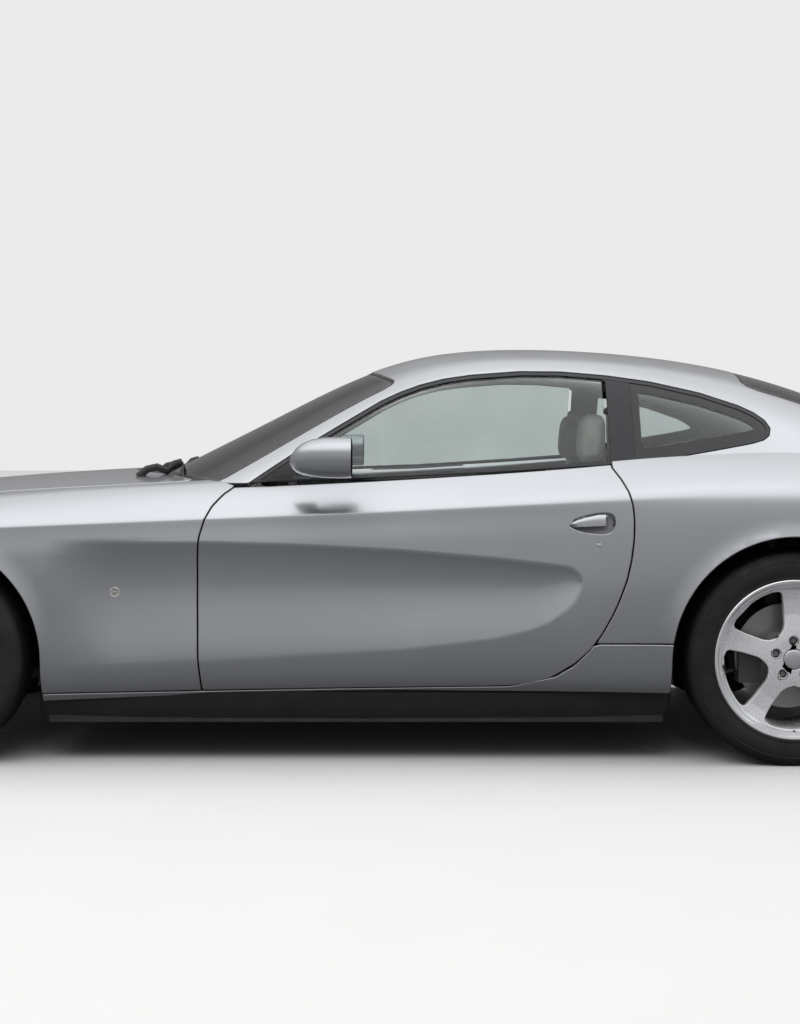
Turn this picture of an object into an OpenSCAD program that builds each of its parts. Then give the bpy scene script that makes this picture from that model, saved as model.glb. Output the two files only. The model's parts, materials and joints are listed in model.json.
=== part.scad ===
// Two-door grand-tourer coupe. X points forward, Y to the left, Z up; the ground is z = 0.
// The outer skin is one smooth sheet per body zone: "body" wraps round the lower car from nose to
// tail, "dome" is the greenhouse above the belt. Each panel is a thick slice of a sheet inside its outline.

/* [Overall] */
// Distance between the front and rear axles
wheelbase = 2900; // [2700:10:3500]
// From the front axle to the tip of the nose
front_overhang = 950; // [850:10:1150]
// From the rear axle to the end of the tail
rear_overhang = 1000; // [900:10:1200]
// Width of the body across the rear haunches
body_w = 1944; // [1800:2:2340]
// Height of the roof above the ground
body_h = 1418; // [1380:2:1700]
// Underside of the floor above the ground
ground_gap = 135; // [110:1:160]

/* [Wheels] */
// Outer radius of the front tyres
front_tyre_r = 350; // [300:1:365]
// Width of the front tyres
front_tyre_w = 245; // [205:1:265]
// Outer radius of the rear tyres
rear_tyre_r = 353; // [300:1:365]
// Width of the rear tyres
rear_tyre_w = 285; // [225:1:305]
// Outer radius of the rims
rim_r = 265; // [225:1:285]
// How far the tyre's outer wall lies inside the widest body line
wheel_inset = 34; // [20:1:60]
// Radius of the wheel arch openings
arch_r = 408; // [395:1:440]
// Number of spokes
spokes = 5; // [5:1:9]
// Number of wheel bolts
bolts = 5; // [4:1:6]
// Radius of the circle that the wheel bolts lie on
bolt_circle_r = 60; // [50:1:70]
// Radius of the brake discs
disc_r = 176; // [150:1:190]
// Thickness of the brake discs
disc_t = 30; // [20:1:36]

/* [Panels] */
// Gap between neighbouring body panels
panel_gap = 8; // [6:0.5:10]
// Thickness of fenders, bumpers and sills
skin_t = 12; // [8:1:18]
// Thickness of the hood and boot lid
lid_t = 26; // [18:1:36]
// Thickness of the roof and its pillars
roof_t = 34; // [24:1:48]
// Thickness of a whole door
door_t = 96; // [70:1:110]
// Thickness of the outer door sheet ahead of its hinge
door_sheet_t = 20; // [14:1:24]
// Thickness of the window glass
glass_t = 6; // [4:0.5:8]
// Depth of the hollow along the doors
hollow_depth = 30; // [15:1:36]

/* [Hinges] */
// How far the door hinge lies behind the door's front edge
door_hinge_back = 60; // [50:1:70]
// How far the door hinge lies inside the widest door line
door_hinge_in = 42; // [40:1:50]
// Radius of the hinge pins
pin_r = 6; // [5:0.5:8]
// Running clearance of pins in their eyes
pin_play = 0.08; // [0.03:0.01:0.1]
// Height of a hinge eye
eye_h = 34; // [24:1:44]

/* [Cabin] */
// Sideways distance of each front seat from the middle
seat_y = 375; // [340:5:420]
// Width of a front seat
seat_w = 500; // [440:5:540]
// Outer radius of the steering wheel
steering_wheel_r = 185; // [165:1:195]

/* [Hidden] */
$fn = 64;

// The guide tables below are for a body with these axles, overhangs, width and height
ref_front = 1475;
ref_rear = -1425;
ref_nose = 2425;
ref_w = 1944;
ref_h = 1418;
front_x = (wheelbase + rear_overhang - front_overhang) / 2;
rear_x = front_x - wheelbase;
function fit_x(x) = x > ref_front ? front_x + (x - ref_front) * front_overhang / (ref_nose - ref_front)
    : x < ref_rear ? rear_x + (x - ref_rear) * rear_overhang / (ref_nose + ref_rear)
    : rear_x + (x - ref_rear) * wheelbase / (ref_front - ref_rear);
function fit_y(y) = y * body_w / ref_w;
function fit_z(z) = z * body_h / ref_h;
function fit(p) = [fit_x(p.x), fit_y(p.y), fit_z(p.z)];
// Side-view outlines are [x, z], plan outlines are [x, y]
function fit_side(points) = [for (p = points) [fit_x(p.x), fit_z(p.y)]];
function fit_plan(points) = [for (p = points) [fit_x(p.x), fit_y(p.y)]];

// ---- Smooth sheets: uniform cubic splines over a net of guide points ----

function spline_weights(t) = [pow(1 - t, 3), 3*t*t*t - 6*t*t + 4, -3*t*t*t + 3*t*t + 3*t + 1, t*t*t] / 6;
// The point of a net, padded by one row on every side, at station u and row v
function on_net(net, u, v) = let(
    i = max(0, min(len(net) - 4, floor(u))), j = max(0, min(len(net[0]) - 4, floor(v))),
    a = spline_weights(u - i), b = spline_weights(v - j))
    [for (k = [0:2]) [for (m = [0:3]) a[m] * [for (n = [0:3]) net[i + m][j + n][k]] * b] * [1, 1, 1, 1]];
function flip(p) = [p.x, -p.y, p.z];
function unit(p) = p / norm(p);

// Body stations from the middle of the nose round the side to the middle of the tail:
// [x at the side, y at the side, x along the hood or boot deck]
stations = [[2425, 0, 2345], [2418, 270, 2325], [2360, 530, 2262], [2215, 745, 2150],
    [1985, 872, 1975], [1715, 922, 1730], [1440, 938, 1445], [1150, 935, 1150], [850, 924, 850],
    [550, 916, 550], [250, 912, 250], [-50, 914, -50], [-350, 922, -350], [-650, 936, -650],
    [-950, 955, -950], [-1230, 969, -1230], [-1500, 972, -1500], [-1770, 950, -1760],
    [-2020, 890, -1990], [-2220, 770, -2170], [-2365, 560, -2295], [-2418, 285, -2368], [-2425, 0, -2388]];
last = len(stations) - 1;
function station(i) = i < 0 ? [stations[-i].x, -stations[-i].y, stations[-i].z]
    : i > last ? [stations[2*last - i].x, -stations[2*last - i].y, stations[2*last - i].z] : stations[i];
// Direction straight out of the side at a station
function outward(i) = let(t = station(i + 1) - station(i - 1)) unit([t.y, -t.x, 0]);

// Rows from the lower edge to the middle of the hood. Each table gives [station, value].
row_z = [
    [[0, 190], [3, 192], [5, 198], [7, 208], [9, 230], [11, 243], [13, 243], [15, 238], [17, 228], [22, 215]],
    [[0, 222], [3, 228], [5, 240], [7, 252], [9, 268], [11, 280], [13, 280], [15, 275], [17, 262], [22, 250]],
    [[0, 300], [3, 305], [5, 315], [7, 322], [9, 345], [11, 378], [13, 392], [15, 385], [17, 365], [22, 345]],
    [[0, 395], [3, 405], [5, 432], [7, 460], [9, 475], [13, 490], [15, 492], [17, 480], [22, 465]],
    [[0, 492], [3, 505], [5, 560], [7, 600], [9, 605], [13, 585], [15, 600], [17, 605], [22, 590]],
    [[0, 578], [2, 590], [4, 655], [5, 695], [6, 728], [7, 742], [9, 741], [11, 716], [13, 680], [14, 692],
        [16, 735], [18, 735], [20, 715], [22, 708]],
    [[0, 636], [2, 650], [4, 718], [5, 750], [6, 772], [7, 788], [9, 808], [11, 832], [13, 868], [14, 886],
        [15, 893], [16, 892], [17, 880], [18, 858], [20, 826], [22, 818]],
    [[0, 655], [2, 670], [4, 742], [5, 776], [6, 798], [7, 812], [9, 828], [11, 852], [13, 890], [14, 916],
        [15, 934], [16, 940], [17, 926], [18, 900], [20, 868], [22, 862]],
    [[0, 688], [2, 704], [4, 780], [5, 826], [6, 862], [7, 888], [8, 910], [9, 926], [10, 933], [11, 943],
        [12, 957], [13, 976], [14, 1005], [15, 1032], [16, 1040], [17, 1020], [18, 982], [20, 930], [22, 920]],
    [[0, 718], [2, 740], [3, 776], [4, 820], [5, 862], [6, 893], [7, 914], [8, 930], [9, 942], [10, 965],
        [12, 1034], [14, 1090], [16, 1075], [17, 1035], [18, 1004], [20, 964], [22, 950]],
    [[0, 740], [2, 770], [3, 804], [4, 847], [5, 888], [6, 921], [7, 943], [8, 960], [9, 975], [12, 1050],
        [16, 1062], [17, 1046], [18, 1020], [20, 978], [22, 958]],
    [[0, 752], [2, 784], [3, 819], [4, 861], [5, 901], [6, 932], [7, 955], [8, 972], [9, 985], [12, 1055],
        [16, 1066], [17, 1050], [18, 1026], [20, 984], [22, 962]]];
// How far each of the lower rows lies inside the widest line
row_in = [
    [[0, 95], [3, 80], [5, 58], [7, 56], [15, 58], [18, 70], [22, 90]],
    [[0, 50], [3, 42], [5, 30], [7, 26], [15, 28], [18, 36], [22, 48]],
    [[0, 14], [3, 10], [5, 7], [7, 4], [13, 4], [18, 10], [22, 14]],
    [[0, 0], [22, 0]],
    [[0, 0], [4, 0], [7, 0], [22, 2]],
    [[0, 9], [4, 8], [7, 6], [13, 6], [18, 10], [22, 14]],
    [[0, 22], [2, 24], [4, 20], [6, 17], [9, 19], [13, 21], [16, 26], [18, 26], [22, 24]],
    [[0, 30], [2, 33], [4, 31], [6, 29], [9, 31], [13, 34], [15, 50], [16, 56], [18, 46], [22, 34]],
    [[0, 44], [2, 52], [4, 70], [5, 92], [6, 108], [7, 113], [9, 115], [11, 116], [12, 122], [13, 134],
        [14, 156], [15, 186], [16, 205], [17, 192], [18, 150], [20, 82], [22, 58]]];
// Half widths of the three rows over the hood and the boot deck
deck_y = [
    [[0, 0], [1, 205], [2, 400], [3, 560], [4, 640], [5, 668], [8, 668], [10, 680], [12, 700], [15, 650],
        [17, 640], [18, 600], [19, 520], [20, 375], [21, 190], [22, 0]],
    [[0, 0], [1, 112], [2, 215], [3, 305], [4, 348], [5, 358], [17, 350], [18, 330], [19, 285], [20, 205],
        [21, 104], [22, 0]],
    [[0, 0], [22, 0]]];
// How far each upper row has moved from the side line to the deck line, along the car
deck_share = [0.3, 0.75, 0.93, 1];
top_row = len(row_z) - 1;
first_deck = top_row - 2;

function guide(i, j) = j < 0 ? 2 * guide(i, 0) - guide(i, 1)
    : j > top_row ? flip(guide(i, 2 * top_row - j))
    : i < 0 ? flip(guide(-i, j)) : i > last ? flip(guide(2 * last - i, j))
    : let(s = stations[i], z = lookup(i, row_z[j]))
        j < first_deck ? let(p = [s.x, s.y, 0] - lookup(i, row_in[j]) * outward(i),
                share = j == first_deck - 1 ? deck_share[0] : 0)
            [p.x + share * min(0, s.z - s.x) * (s.x > 0 ? 1 : 0) + share * max(0, s.z - s.x) * (s.x < 0 ? 1 : 0),
                p.y, z]
        : [s.x + (s.z - s.x) * deck_share[j - first_deck + 1], lookup(i, deck_y[j - first_deck]), z];
body_net = [for (i = [-1:last + 1]) [for (j = [-1:top_row + 1]) guide(i, j)]];

// Upper and lower edge of the hollow along the side, [x, z]
hollow_top = [[-720, 606], [-715, 632], [-700, 648], [-686, 657], [-616, 667], [-448, 686], [-121, 713],
    [250, 732], [547, 741], [1027, 746]];
hollow_low = [[-720, 606], [-716, 581], [-700, 548], [-676, 521], [-616, 478], [-547, 449], [-418, 419],
    [-121, 383], [538, 344], [1017, 324]];
hollow_full = 320;
hollow_fade = [[820, 1], [1060, 0]];
function hollow(x, z) = x < -720 || x > 1060 ? 0 : let(low = lookup(x, hollow_low), top = lookup(x, hollow_top),
    t = (z - low) / max(1, top - low))
    t <= 0 || t >= 1 ? 0
    : hollow_depth * min(1, (top - low) / hollow_full) * lookup(x, hollow_fade) * t * (1 - t*t*t) / 0.4725;
// Lip round each wheel arch
lip_out = 9;
lip_band = 60;
function lip(x, z) = let(r = min(norm([x - ref_front, z - front_tyre_r]), norm([x - ref_rear, z - rear_tyre_r])),
    t = (r - arch_r) / lip_band) t > 1 ? 0 : lip_out * pow(1 - max(0, t), 2);

// The lower sheet: station s (below 0 and above last run on round the other side), row v
function on_body(s, v) = s < 0 ? flip(on_body(-s, v)) : s > last ? flip(on_body(2*last - s, v))
    : v > top_row ? flip(on_body(s, 2*top_row - v))
    : let(p = on_net(body_net, s, v)) fit([p.x, p.y + lip(p.x, p.z) - hollow(p.x, p.z), p.z]);
function station_at(x) = lookup(-x, [for (i = [4:last - 4]) [-stations[i].x, i]]);

// Greenhouse: sections at these places along the car
dome_x = [for (k = [0:13]) 820 - 240 * k];
rail_out = [[820, 805, 735], [580, 782, 868], [340, 777, 968], [100, 697, 1122], [-140, 628, 1253],
    [-380, 603, 1307], [-620, 598, 1319], [-860, 604, 1302], [-1100, 618, 1262], [-1340, 634, 1200],
    [-1580, 645, 1132], [-1820, 645, 1060], [-2060, 640, 985], [-2300, 630, 900]];
rail_in = [[820, 795, 765], [580, 738, 900], [340, 674, 1036], [100, 608, 1177], [-140, 552, 1300],
    [-380, 538, 1351], [-620, 532, 1360], [-860, 528, 1349], [-1100, 520, 1320], [-1340, 515, 1270],
    [-1580, 512, 1196], [-1820, 508, 1108], [-2060, 500, 1008], [-2300, 490, 905]];
crown_z = [936, 1055, 1174, 1297, 1387, 1418, 1421, 1410, 1387, 1347, 1281, 1184, 1062, 935];
glass_bulge = 9;
belt_tuck = 7;
function dome_guide(k, j) = k < 0 ? 2*dome_guide(0, j) - dome_guide(1, j)
    : k > 13 ? 2*dome_guide(13, j) - dome_guide(12, j)
    : j < 0 ? 2*dome_guide(k, 0) - dome_guide(k, 1)
    : j > 6 ? flip(dome_guide(k, 12 - j))
    : let(x = dome_x[k], b = on_net(body_net, station_at(x), first_deck - 1),
        belt = [x, b.y - belt_tuck, b.z - belt_tuck - max(0, x - 480) * 0.62],
        o = [x, rail_out[k].y, rail_out[k].z], n = [x, rail_in[k].y, rail_in[k].z], c = [x, 0, crown_z[k]])
        j == 0 ? belt : j == 3 ? o : j == 4 ? n : j == 6 ? c
        : j == 5 ? [x, n.y * 0.55, c.z - (c.z - n.z) * 0.26]
        : belt + (o - belt) * j / 3 + [0, glass_bulge, 0];
dome_net = [for (k = [-1:14]) [for (j = [-1:7]) dome_guide(k, j)]];
function on_dome(s, v) = v > 6 ? flip(on_dome(s, 12 - v)) : fit(on_net(dome_net, s, v));
function dome_at(x) = (820 - x) / 240;

// ---- Thick slices of a sheet ----

function steps(a, b, n) = [for (k = [0:n]) a + (b - a) * k / n];
function body_normal(s, v) = let(h = 0.02)
    unit(cross(on_body(s + h, v) - on_body(s - h, v), on_body(s, v + h) - on_body(s, v - h)));
function dome_normal(s, v) = let(h = 0.02)
    unit(cross(on_dome(s + h, v) - on_dome(s - h, v), on_dome(s, v + h) - on_dome(s, v - h)));

// A closed solid between an outer grid of points and an inner one
module slab(outer, inner) {
    rows = len(outer);
    cols = len(outer[0]);
    total = rows * cols;
    points = [for (g = [outer, inner]) for (r = g) for (p = r) p];
    function at(i, j) = i * cols + j;
    cells = [for (i = [0:rows - 2]) for (j = [0:cols - 2]) [at(i, j), at(i, j + 1), at(i + 1, j + 1), at(i + 1, j)]];
    rim = concat([for (j = [0:cols - 2]) [at(0, j), at(0, j + 1)]],
        [for (i = [0:rows - 2]) [at(i, cols - 1), at(i + 1, cols - 1)]],
        [for (j = [cols - 1:-1:1]) [at(rows - 1, j), at(rows - 1, j - 1)]],
        [for (i = [rows - 1:-1:1]) [at(i, 0), at(i - 1, 0)]]);
    polyhedron(points, concat(
        [for (c = cells) [c[0], c[1], c[2]]], [for (c = cells) [c[0], c[2], c[3]]],
        [for (c = cells) [c[2] + total, c[1] + total, c[0] + total]],
        [for (c = cells) [c[3] + total, c[2] + total, c[0] + total]],
        [for (e = rim) [e[1], e[0], e[0] + total]], [for (e = rim) [e[1], e[0] + total, e[1] + total]]), 4);
}
// Slice of the lower sheet. toward is the direction of its thickness, or undef for straight in
module body_slice(s_list, v_list, t, toward = undef) {
    outer = [for (s = s_list) [for (v = v_list) on_body(s, v)]];
    slab(outer, [for (s = s_list) [for (v = v_list)
        on_body(s, v) + t * (is_undef(toward) ? -body_normal(s, v) : toward)]]);
}
module dome_slice(s_list, v_list, t, lift = 0) {
    slab([for (s = s_list) [for (v = v_list) on_dome(s, v) + lift * dome_normal(s, v)]],
        [for (s = s_list) [for (v = v_list) on_dome(s, v) + (lift - t) * dome_normal(s, v)]]);
}
// Keeps the result as one moulded mesh
module moulded() { resize([0, 0, 0]) children(); }
// Prisms for cutting: across the car from a side-view outline, and upright from a plan outline
module across(grow = 0, from = 300, to = 1200)
    translate([0, to, 0]) rotate([90, 0, 0]) linear_extrude(to - from) offset(delta = grow) children();
module upright(grow = 0) linear_extrude(2 * body_h) offset(delta = grow) children();
module both_sides() { children(); mirror([0, 1, 0]) children(); }

// ---- Outlines ----

// Door below the belt, side view, from the front of the belt round to the rear of the belt
door_front_x = 548;
door_outline = [[300, 1200], [419, 930], [470, 893], [504, 855], [524, 815], [541, 760], [545, 733],
    [door_front_x, 683], [door_front_x, 551], [545, 353], [535, 246], [-121, 256], [-400, 261], [-485, 264],
    [-560, 274], [-625, 296], [-699, 343], [-747, 388], [-782, 436], [-818, 500], [-841, 551], [-866, 618],
    [-881, 683], [-890, 750], [-892, 815], [-888, 860], [-876, 907], [-858, 945], [-832, 985], [-832, 1200]];
// Outer edge of the trim round the side windows, side view
window_outline = [[402, 926], [330, 976], [219, 1050], [84, 1132], [-52, 1213], [-120, 1245], [-191, 1271],
    [-275, 1292], [-365, 1305], [-539, 1318], [-679, 1317], [-842, 1303], [-990, 1282], [-1161, 1243],
    [-1294, 1198], [-1345, 1173], [-1380, 1145], [-1394, 1118], [-1386, 1093], [-1366, 1077], [-1320, 1064],
    [-1244, 1050], [-1071, 1020], [-821, 988], [-594, 971], [-189, 946], [216, 933]];
window_split_x = -826;
quarter_split_x = -917;
// Windscreen and rear window, plan, left half
windscreen_half = [[748, 0], [739, 140], [712, 290], [664, 440], [597, 590], [545, 680], [506, 718],
    [470, 716], [-60, 566], [-98, 540], [-98, 500], [-60, 380], [-22, 200], [-8, 0]];
rear_window_half = [[-1352, 0], [-1350, 250], [-1340, 440], [-1352, 484], [-1385, 502], [-1700, 516],
    [-1960, 512], [-2020, 496], [-2048, 450], [-2080, 300], [-2100, 0]];
roof_side_y = 530;
// Hood and boot lid, plan, left half
hood_half = [[2292, 0], [2285, 150], [2262, 300], [2215, 430], [2140, 530], [2040, 590], [1850, 640],
    [1600, 668], [1300, 682], [900, 694], [640, 690], [606, 678], [598, 655], [628, 600], [706, 480],
    [800, 330], [860, 170], [881, 0]];
boot_half = [[-2150, 0], [-2148, 300], [-2142, 480], [-2152, 540], [-2190, 560], [-2600, 560], [-2600, 0]];
boot_low_z = 700;
headlamp_outline = [[2268, 470], [2290, 560], [2272, 640], [2210, 720], [2090, 800], [1960, 846], [1860, 860],
    [1905, 806], [2010, 725], [2110, 640], [2190, 560], [2235, 490]];
// Parting line between front bumper and fender, side view
front_split = [[1862, 0], [1864, 560], [1905, 625], [1985, 668], [2110, 690], [2240, 706], [2280, 725],
    [2300, 900], [2700, 900], [2700, 0]];
rear_split = [[-1812, 0], [-1812, 560], [-1850, 640], [-1950, 676], [-2080, 690], [-2700, 700], [-2700, 0]];
// Lower edge of doors and fenders above the sill, side view
sill_outline = [[1200, 0], [1200, 229], [535, 238], [-121, 249], [-485, 256], [-640, 292], [-700, 331],
    [-755, 388], [-764, 402], [-1200, 404], [-1200, 0]];

module half_plan(points) polygon(fit_plan(concat(points, [for (k = [len(points) - 1:-1:0]) flip_plan(points[k])])));
function flip_plan(p) = [p.x, -p.y];
module side_shape(points) polygon(fit_side(points));
module plan_shape(points) polygon(fit_plan(points));
module arch_cut(x, tyre_r) {
    translate([x, 0, tyre_r]) rotate([90, 0, 0]) cylinder(r = arch_r, h = 4 * body_w, center = true, $fn = 96);
    translate([x - arch_r, -2 * body_w, -arch_r]) cube([2 * arch_r, 4 * body_w, tyre_r + arch_r]);
}
module arch_cuts() {
    arch_cut(front_x, front_tyre_r);
    arch_cut(rear_x, rear_tyre_r);
}

// ---- Wheel places ----

wheel_face_y = body_w / 2 - wheel_inset;
front_wheel_y = wheel_face_y - front_tyre_w / 2;
rear_wheel_y = wheel_face_y - rear_tyre_w / 2;
hub_face_y = wheel_face_y - 92;
disc_y = hub_face_y - 56;
steer_y = disc_y - 62;
hinge_x = fit_x(door_front_x) - door_hinge_back;
hinge_y = on_body(station_at(door_front_x), 3.5).y - door_hinge_in;
hinge_z = [fit_z(360), fit_z(690)];

// ---- Lower body panels ----

side_rows = [0, 0.7, 1.4, 2.1, 2.8, 3.5, 4.2, 4.7, 5.1, 5.5, 6, 6.5, 7, 7.5, 8];
core_rows = [0, 1, 2, 3.5, 5, 6, 7, 8];
core_gap = 14;
door_steps = concat(steps(8.6, 12, 7), steps(12.4, 14.4, 7));
swing_clear = 9;

module door_outline_shape() side_shape(door_outline);
module below_sill() side_shape([[2000, 0], [2000, 239], [535, 239], [-121, 250], [-2000, 250], [-2000, 0]]);
module left_door_solid() moulded() difference() {
    union() {
        intersection() {
            body_slice(door_steps, side_rows, door_sheet_t, [0, -1, 0]);
            across() door_outline_shape();
        }
        intersection() {
            translate([0, -door_sheet_t / 2, 0])
                body_slice(steps(8.9, 14.2, 5), core_rows, door_t - door_sheet_t / 2, [0, -1, 0]);
            across(-core_gap) intersection() {
                door_outline_shape();
                translate([hinge_x - 16 - wheelbase, 0]) square([wheelbase, 2 * body_h]);
            }
        }
    }
    across() below_sill();
}
// The room that the door's front edge sweeps as it opens
module door_sweep() for (a = [0:5:door_max])
    translate([hinge_x, hinge_y, 0]) rotate(-a) translate([-hinge_x, -hinge_y, 0]) intersection() {
        translate([0, swing_clear, 0])
            body_slice(steps(8.7, 9.5, 2), core_rows, door_sheet_t + 2 * swing_clear, [0, -1, 0]);
        across(swing_clear) intersection() {
            door_outline_shape();
            translate([hinge_x - 90, 0]) square([wheelbase, 2 * body_h]);
        }
    }
module left_fender_solid() moulded() {
    fender_sheet();
    tab([hinge_x + 115, hinge_y - post_gap, fit_z(740)], [hinge_x + 155, body_w, fit_z(780)], steps(7.5, 9.5, 3),
        [4, 5, 6, 7], 240, [0, -1, 0]);
}
module fender_sheet() difference() {
    body_slice(concat(steps(2.4, 8, 12), steps(8.4, 9.9, 3)), concat(side_rows, [8.4, 8.8, 9.2, 9.8, 10.4]), skin_t);
    across(panel_gap) door_outline_shape();
    across(panel_gap, -10) side_shape(front_split);
    across(panel_gap) side_shape(sill_outline);
    upright(panel_gap) half_plan(hood_half);
    upright(panel_gap / 2) plan_shape(headlamp_outline);
    upright() cowl_plan(3);
    translate([fit_x(-1000), 0, fit_z(880)]) cube([fit_x(404) - fit_x(-1000), body_w, body_h]);
    dome_slice(steps(0.9, 2.2, 4), [-1.5, 0, 1.5, 3, 4.4], roof_t + 8, 4);
    door_sweep();
    arch_cuts();
}
module cowl_plan(grow) translate([fit_x(511) - 130, -fit_y(690) - grow])
    square([fit_x(884) - fit_x(511) + 130 + grow, 2 * (fit_y(690) + grow)]);
// Window opening with a ledge that the glass lies on or shuts against
glass_steps = steps(1.4, 9.6, 13);
glass_rows = steps(-0.8, 3.9, 6);
module window_cut(depth, ledge) {
    intersection() {
        dome_slice(glass_steps, glass_rows, depth + 10, 10);
        across() children();
    }
    across(-ledge) children();
}
module quarter_sheet() difference() {
    union() {
        difference() {
            body_slice(concat(steps(13.2, 16, 6), steps(16.4, 20.6, 6)), side_rows, skin_t + 6);
            across(panel_gap) door_outline_shape();
            across(panel_gap) side_shape(sill_outline);
        }
        difference() {
            body_slice(steps(17, 21.94, 8), [7.8, 8.2, 8.7, 9.3, 10, 10.96], skin_t + 6);
            upright(panel_gap / 2) half_plan(rear_window_half);
        }
        difference() {
            dome_slice(steps(1.05, 12.06, 14), [-0.1, 0.9, 1.9, 2.7, 3.1, 3.6, 4.4], roof_t);
            translate([0, 0, 0.5]) body_slice(steps(8.2, 10, 5), [6, 7.5, 8, 8.5, 9, 9.6], 200, [0, 0, -1]);
            across(panel_gap) intersection() {
                door_outline_shape();
                side_shape([[600, 0], [600, 930], [-121, 952], [-450, 968], [-700, 984], [-860, 1000], [-860, 0]]);
            }
            window_cut(glass_t + 5 + 5.5, window_ledge) door_window();
            window_cut(glass_t + 5.3, window_ledge) quarter_window();
            upright(0.6) roof_plan(0);
            screen_cut(steps(0.2, 4.2, 8), glass_t + screen_sink + 0.3) half_plan(windscreen_half);
            screen_cut(steps(8.6, 12.6, 8), glass_t + back_sink + 0.3) half_plan(rear_window_half);
        }
    }
    across(panel_gap, -10) side_shape(rear_split);
    upright(panel_gap) half_plan(boot_half);
    translate([0, 0, fit_z(boot_low_z)]) rear_panel_cut(panel_gap);
    both_sides() lamp_shapes(lamp_r + 0.4, 300);
    arch_cuts();
}
module left_quarter_solid() moulded() {
    quarter_sheet();
    tab([fit_x(-960), fit_y(post_out_y), fit_z(600)], [fit_x(-930), body_w, fit_z(640)], steps(13, 15, 3),
        [3, 4, 5, 6], 200, [0, -1, 0]);
}
post_out_y = 835;
window_ledge = 14;
screen_sink = 4;
back_sink = 1;
module screen_cut(places, depth) {
    intersection() {
        dome_slice(places, screen_rows, depth + 10, 10);
        upright(panel_gap / 2) children();
    }
    upright(-window_ledge) children();
}
// A tab of the panel that reaches in to the body frame
module tab(a, b, s_list, v_list, depth, toward) intersection() {
    translate(a) cube(b - a);
    translate(toward * skin_t / 2) body_slice(s_list, v_list, depth, toward);
}
module door_window() intersection() {
    union() {
        side_shape(window_outline);
        side_shape([[420, 900], [402, 928], [-750, 1000], [-832, 1000], [-832, 900]]);
    }
    translate([fit_x(window_split_x), 0]) square([wheelbase, 2 * body_h]);
}
module quarter_window() intersection() {
    side_shape(window_outline);
    translate([fit_x(quarter_split_x) - wheelbase, 0]) square([wheelbase, 2 * body_h]);
}
module rear_panel_cut(grow) translate([fit_x(-2600), -fit_y(560) - grow, -grow])
    cube([fit_x(-2192) - fit_x(-2600), 2 * (fit_y(560) + grow), body_h]);
module roof_plan(grow) intersection() {
    translate([fit_x(-1420), -fit_y(roof_side_y) - grow])
        square([fit_x(200) - fit_x(-1420), 2 * (fit_y(roof_side_y) + grow)]);
    difference() {
        translate([fit_x(-1420), -body_w]) square([fit_x(100) - fit_x(-1420), 2 * body_w]);
        offset(delta = panel_gap / 2) half_plan(windscreen_half);
        offset(delta = panel_gap / 2) half_plan(rear_window_half);
    }
}

module sills() color("silver") both_sides() moulded() {
    difference() {
        intersection() {
            body_slice(steps(7, 15.4, 14), [0, 0.6, 1.2, 1.8, 2.4, 3], skin_t);
            across() side_shape(sill_outline);
        }
        arch_cuts();
    }
    for (x = [-600, -200, 200]) tab([fit_x(x), fit_y(sill_box_y[1]) - 20, sill_top + 0.3], [fit_x(x) + 60, body_w, sill_top + 7.3],
        steps(9, 14, 5), [-0.3, 0, 0.5, 1, 1.5], 120, [0, -1, 0]);
}
module left_front_fender() color("silver") left_fender_solid();
module right_front_fender() color("silver") mirror([0, 1, 0]) left_fender_solid();
module left_rear_quarter() color("silver") left_quarter_solid();
module right_rear_quarter() color("silver") mirror([0, 1, 0]) left_quarter_solid();

module roof_panel() color("silver") moulded() intersection() {
    dome_slice(steps(3.2, 9.4, 14), [3.2, 3.8, 4.2, 4.6, 5, 5.5, 6, 6.5, 7, 7.4, 7.8, 8.2, 8.8], roof_t);
    upright() roof_plan(-0.4);
}

// The mouth of the nose, front view
mouth_y = 430;
mouth_z = [315, 520];
module mouth(grow = 0) hull() both_sides() for (z = mouth_z)
    translate([fit_x(2100), fit_y(mouth_y - 70), fit_z(z) + (z > 400 ? -70 : 70)])
        rotate([0, 90, 0]) cylinder(r = 70 + grow, h = 600, $fn = 24);
tow_y = 480;
tow_z = 440;
module tow_access(sign) translate([sign > 0 ? fit_x(1900) : fit_x(-2600), sign * fit_y(tow_y), fit_z(tow_z)])
    rotate([0, 90, 0]) cylinder(r = 26, h = 700, $fn = 24);
module front_bumper() color("silver") moulded() {
    front_bumper_sheet();
    both_sides() tab([fit_x(beam_x[0]), fit_y(arm_y[0]), 400], [fit_x(beam_x[0]) + 300, fit_y(arm_y[1]), 450],
        bumper_steps, [2, 3, 4, 5], 220, [-1, 0, 0]);
}
module front_bumper_sheet() difference() {
    intersection() {
        body_slice(concat(steps(-5.2, -2.2, 6), steps(-1.6, 1.6, 4), steps(2.2, 5.2, 6)),
            [0, 0.7, 1.4, 2, 2.7, 3.4, 4, 4.7, 5.4, 6, 6.7, 7.4, 8, 8.7, 9.4, 10.1, 10.9], skin_t);
        across(0, -1200) side_shape(front_split);
    }
    translate([0, 0, fit_z(600)]) upright(panel_gap / 2) both_sides() plan_shape(headlamp_outline);
    translate([0, 0, fit_z(600)]) upright(panel_gap) half_plan(hood_half);
    mouth();
    tow_access(1);
    arch_cuts();
}
beam_x = [2250, -2270];
arm_y = [540, 580];
bumper_steps = [0.5, 1, 1.5, 2, 2.5, 3, 3.5];
tip_y = [425, 530];
tip_z = 262;
tip_r = 42;
module rear_bumper() color("silver") moulded() {
    rear_bumper_sheet();
    both_sides() tab([fit_x(beam_x[1]) - 300, 300, 390], [fit_x(beam_x[1]), 340, 440],
        steps(last - 3.05, last - 0.05, 6), [2, 3, 4, 5], 260, [1, 0, 0]);
}
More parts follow.
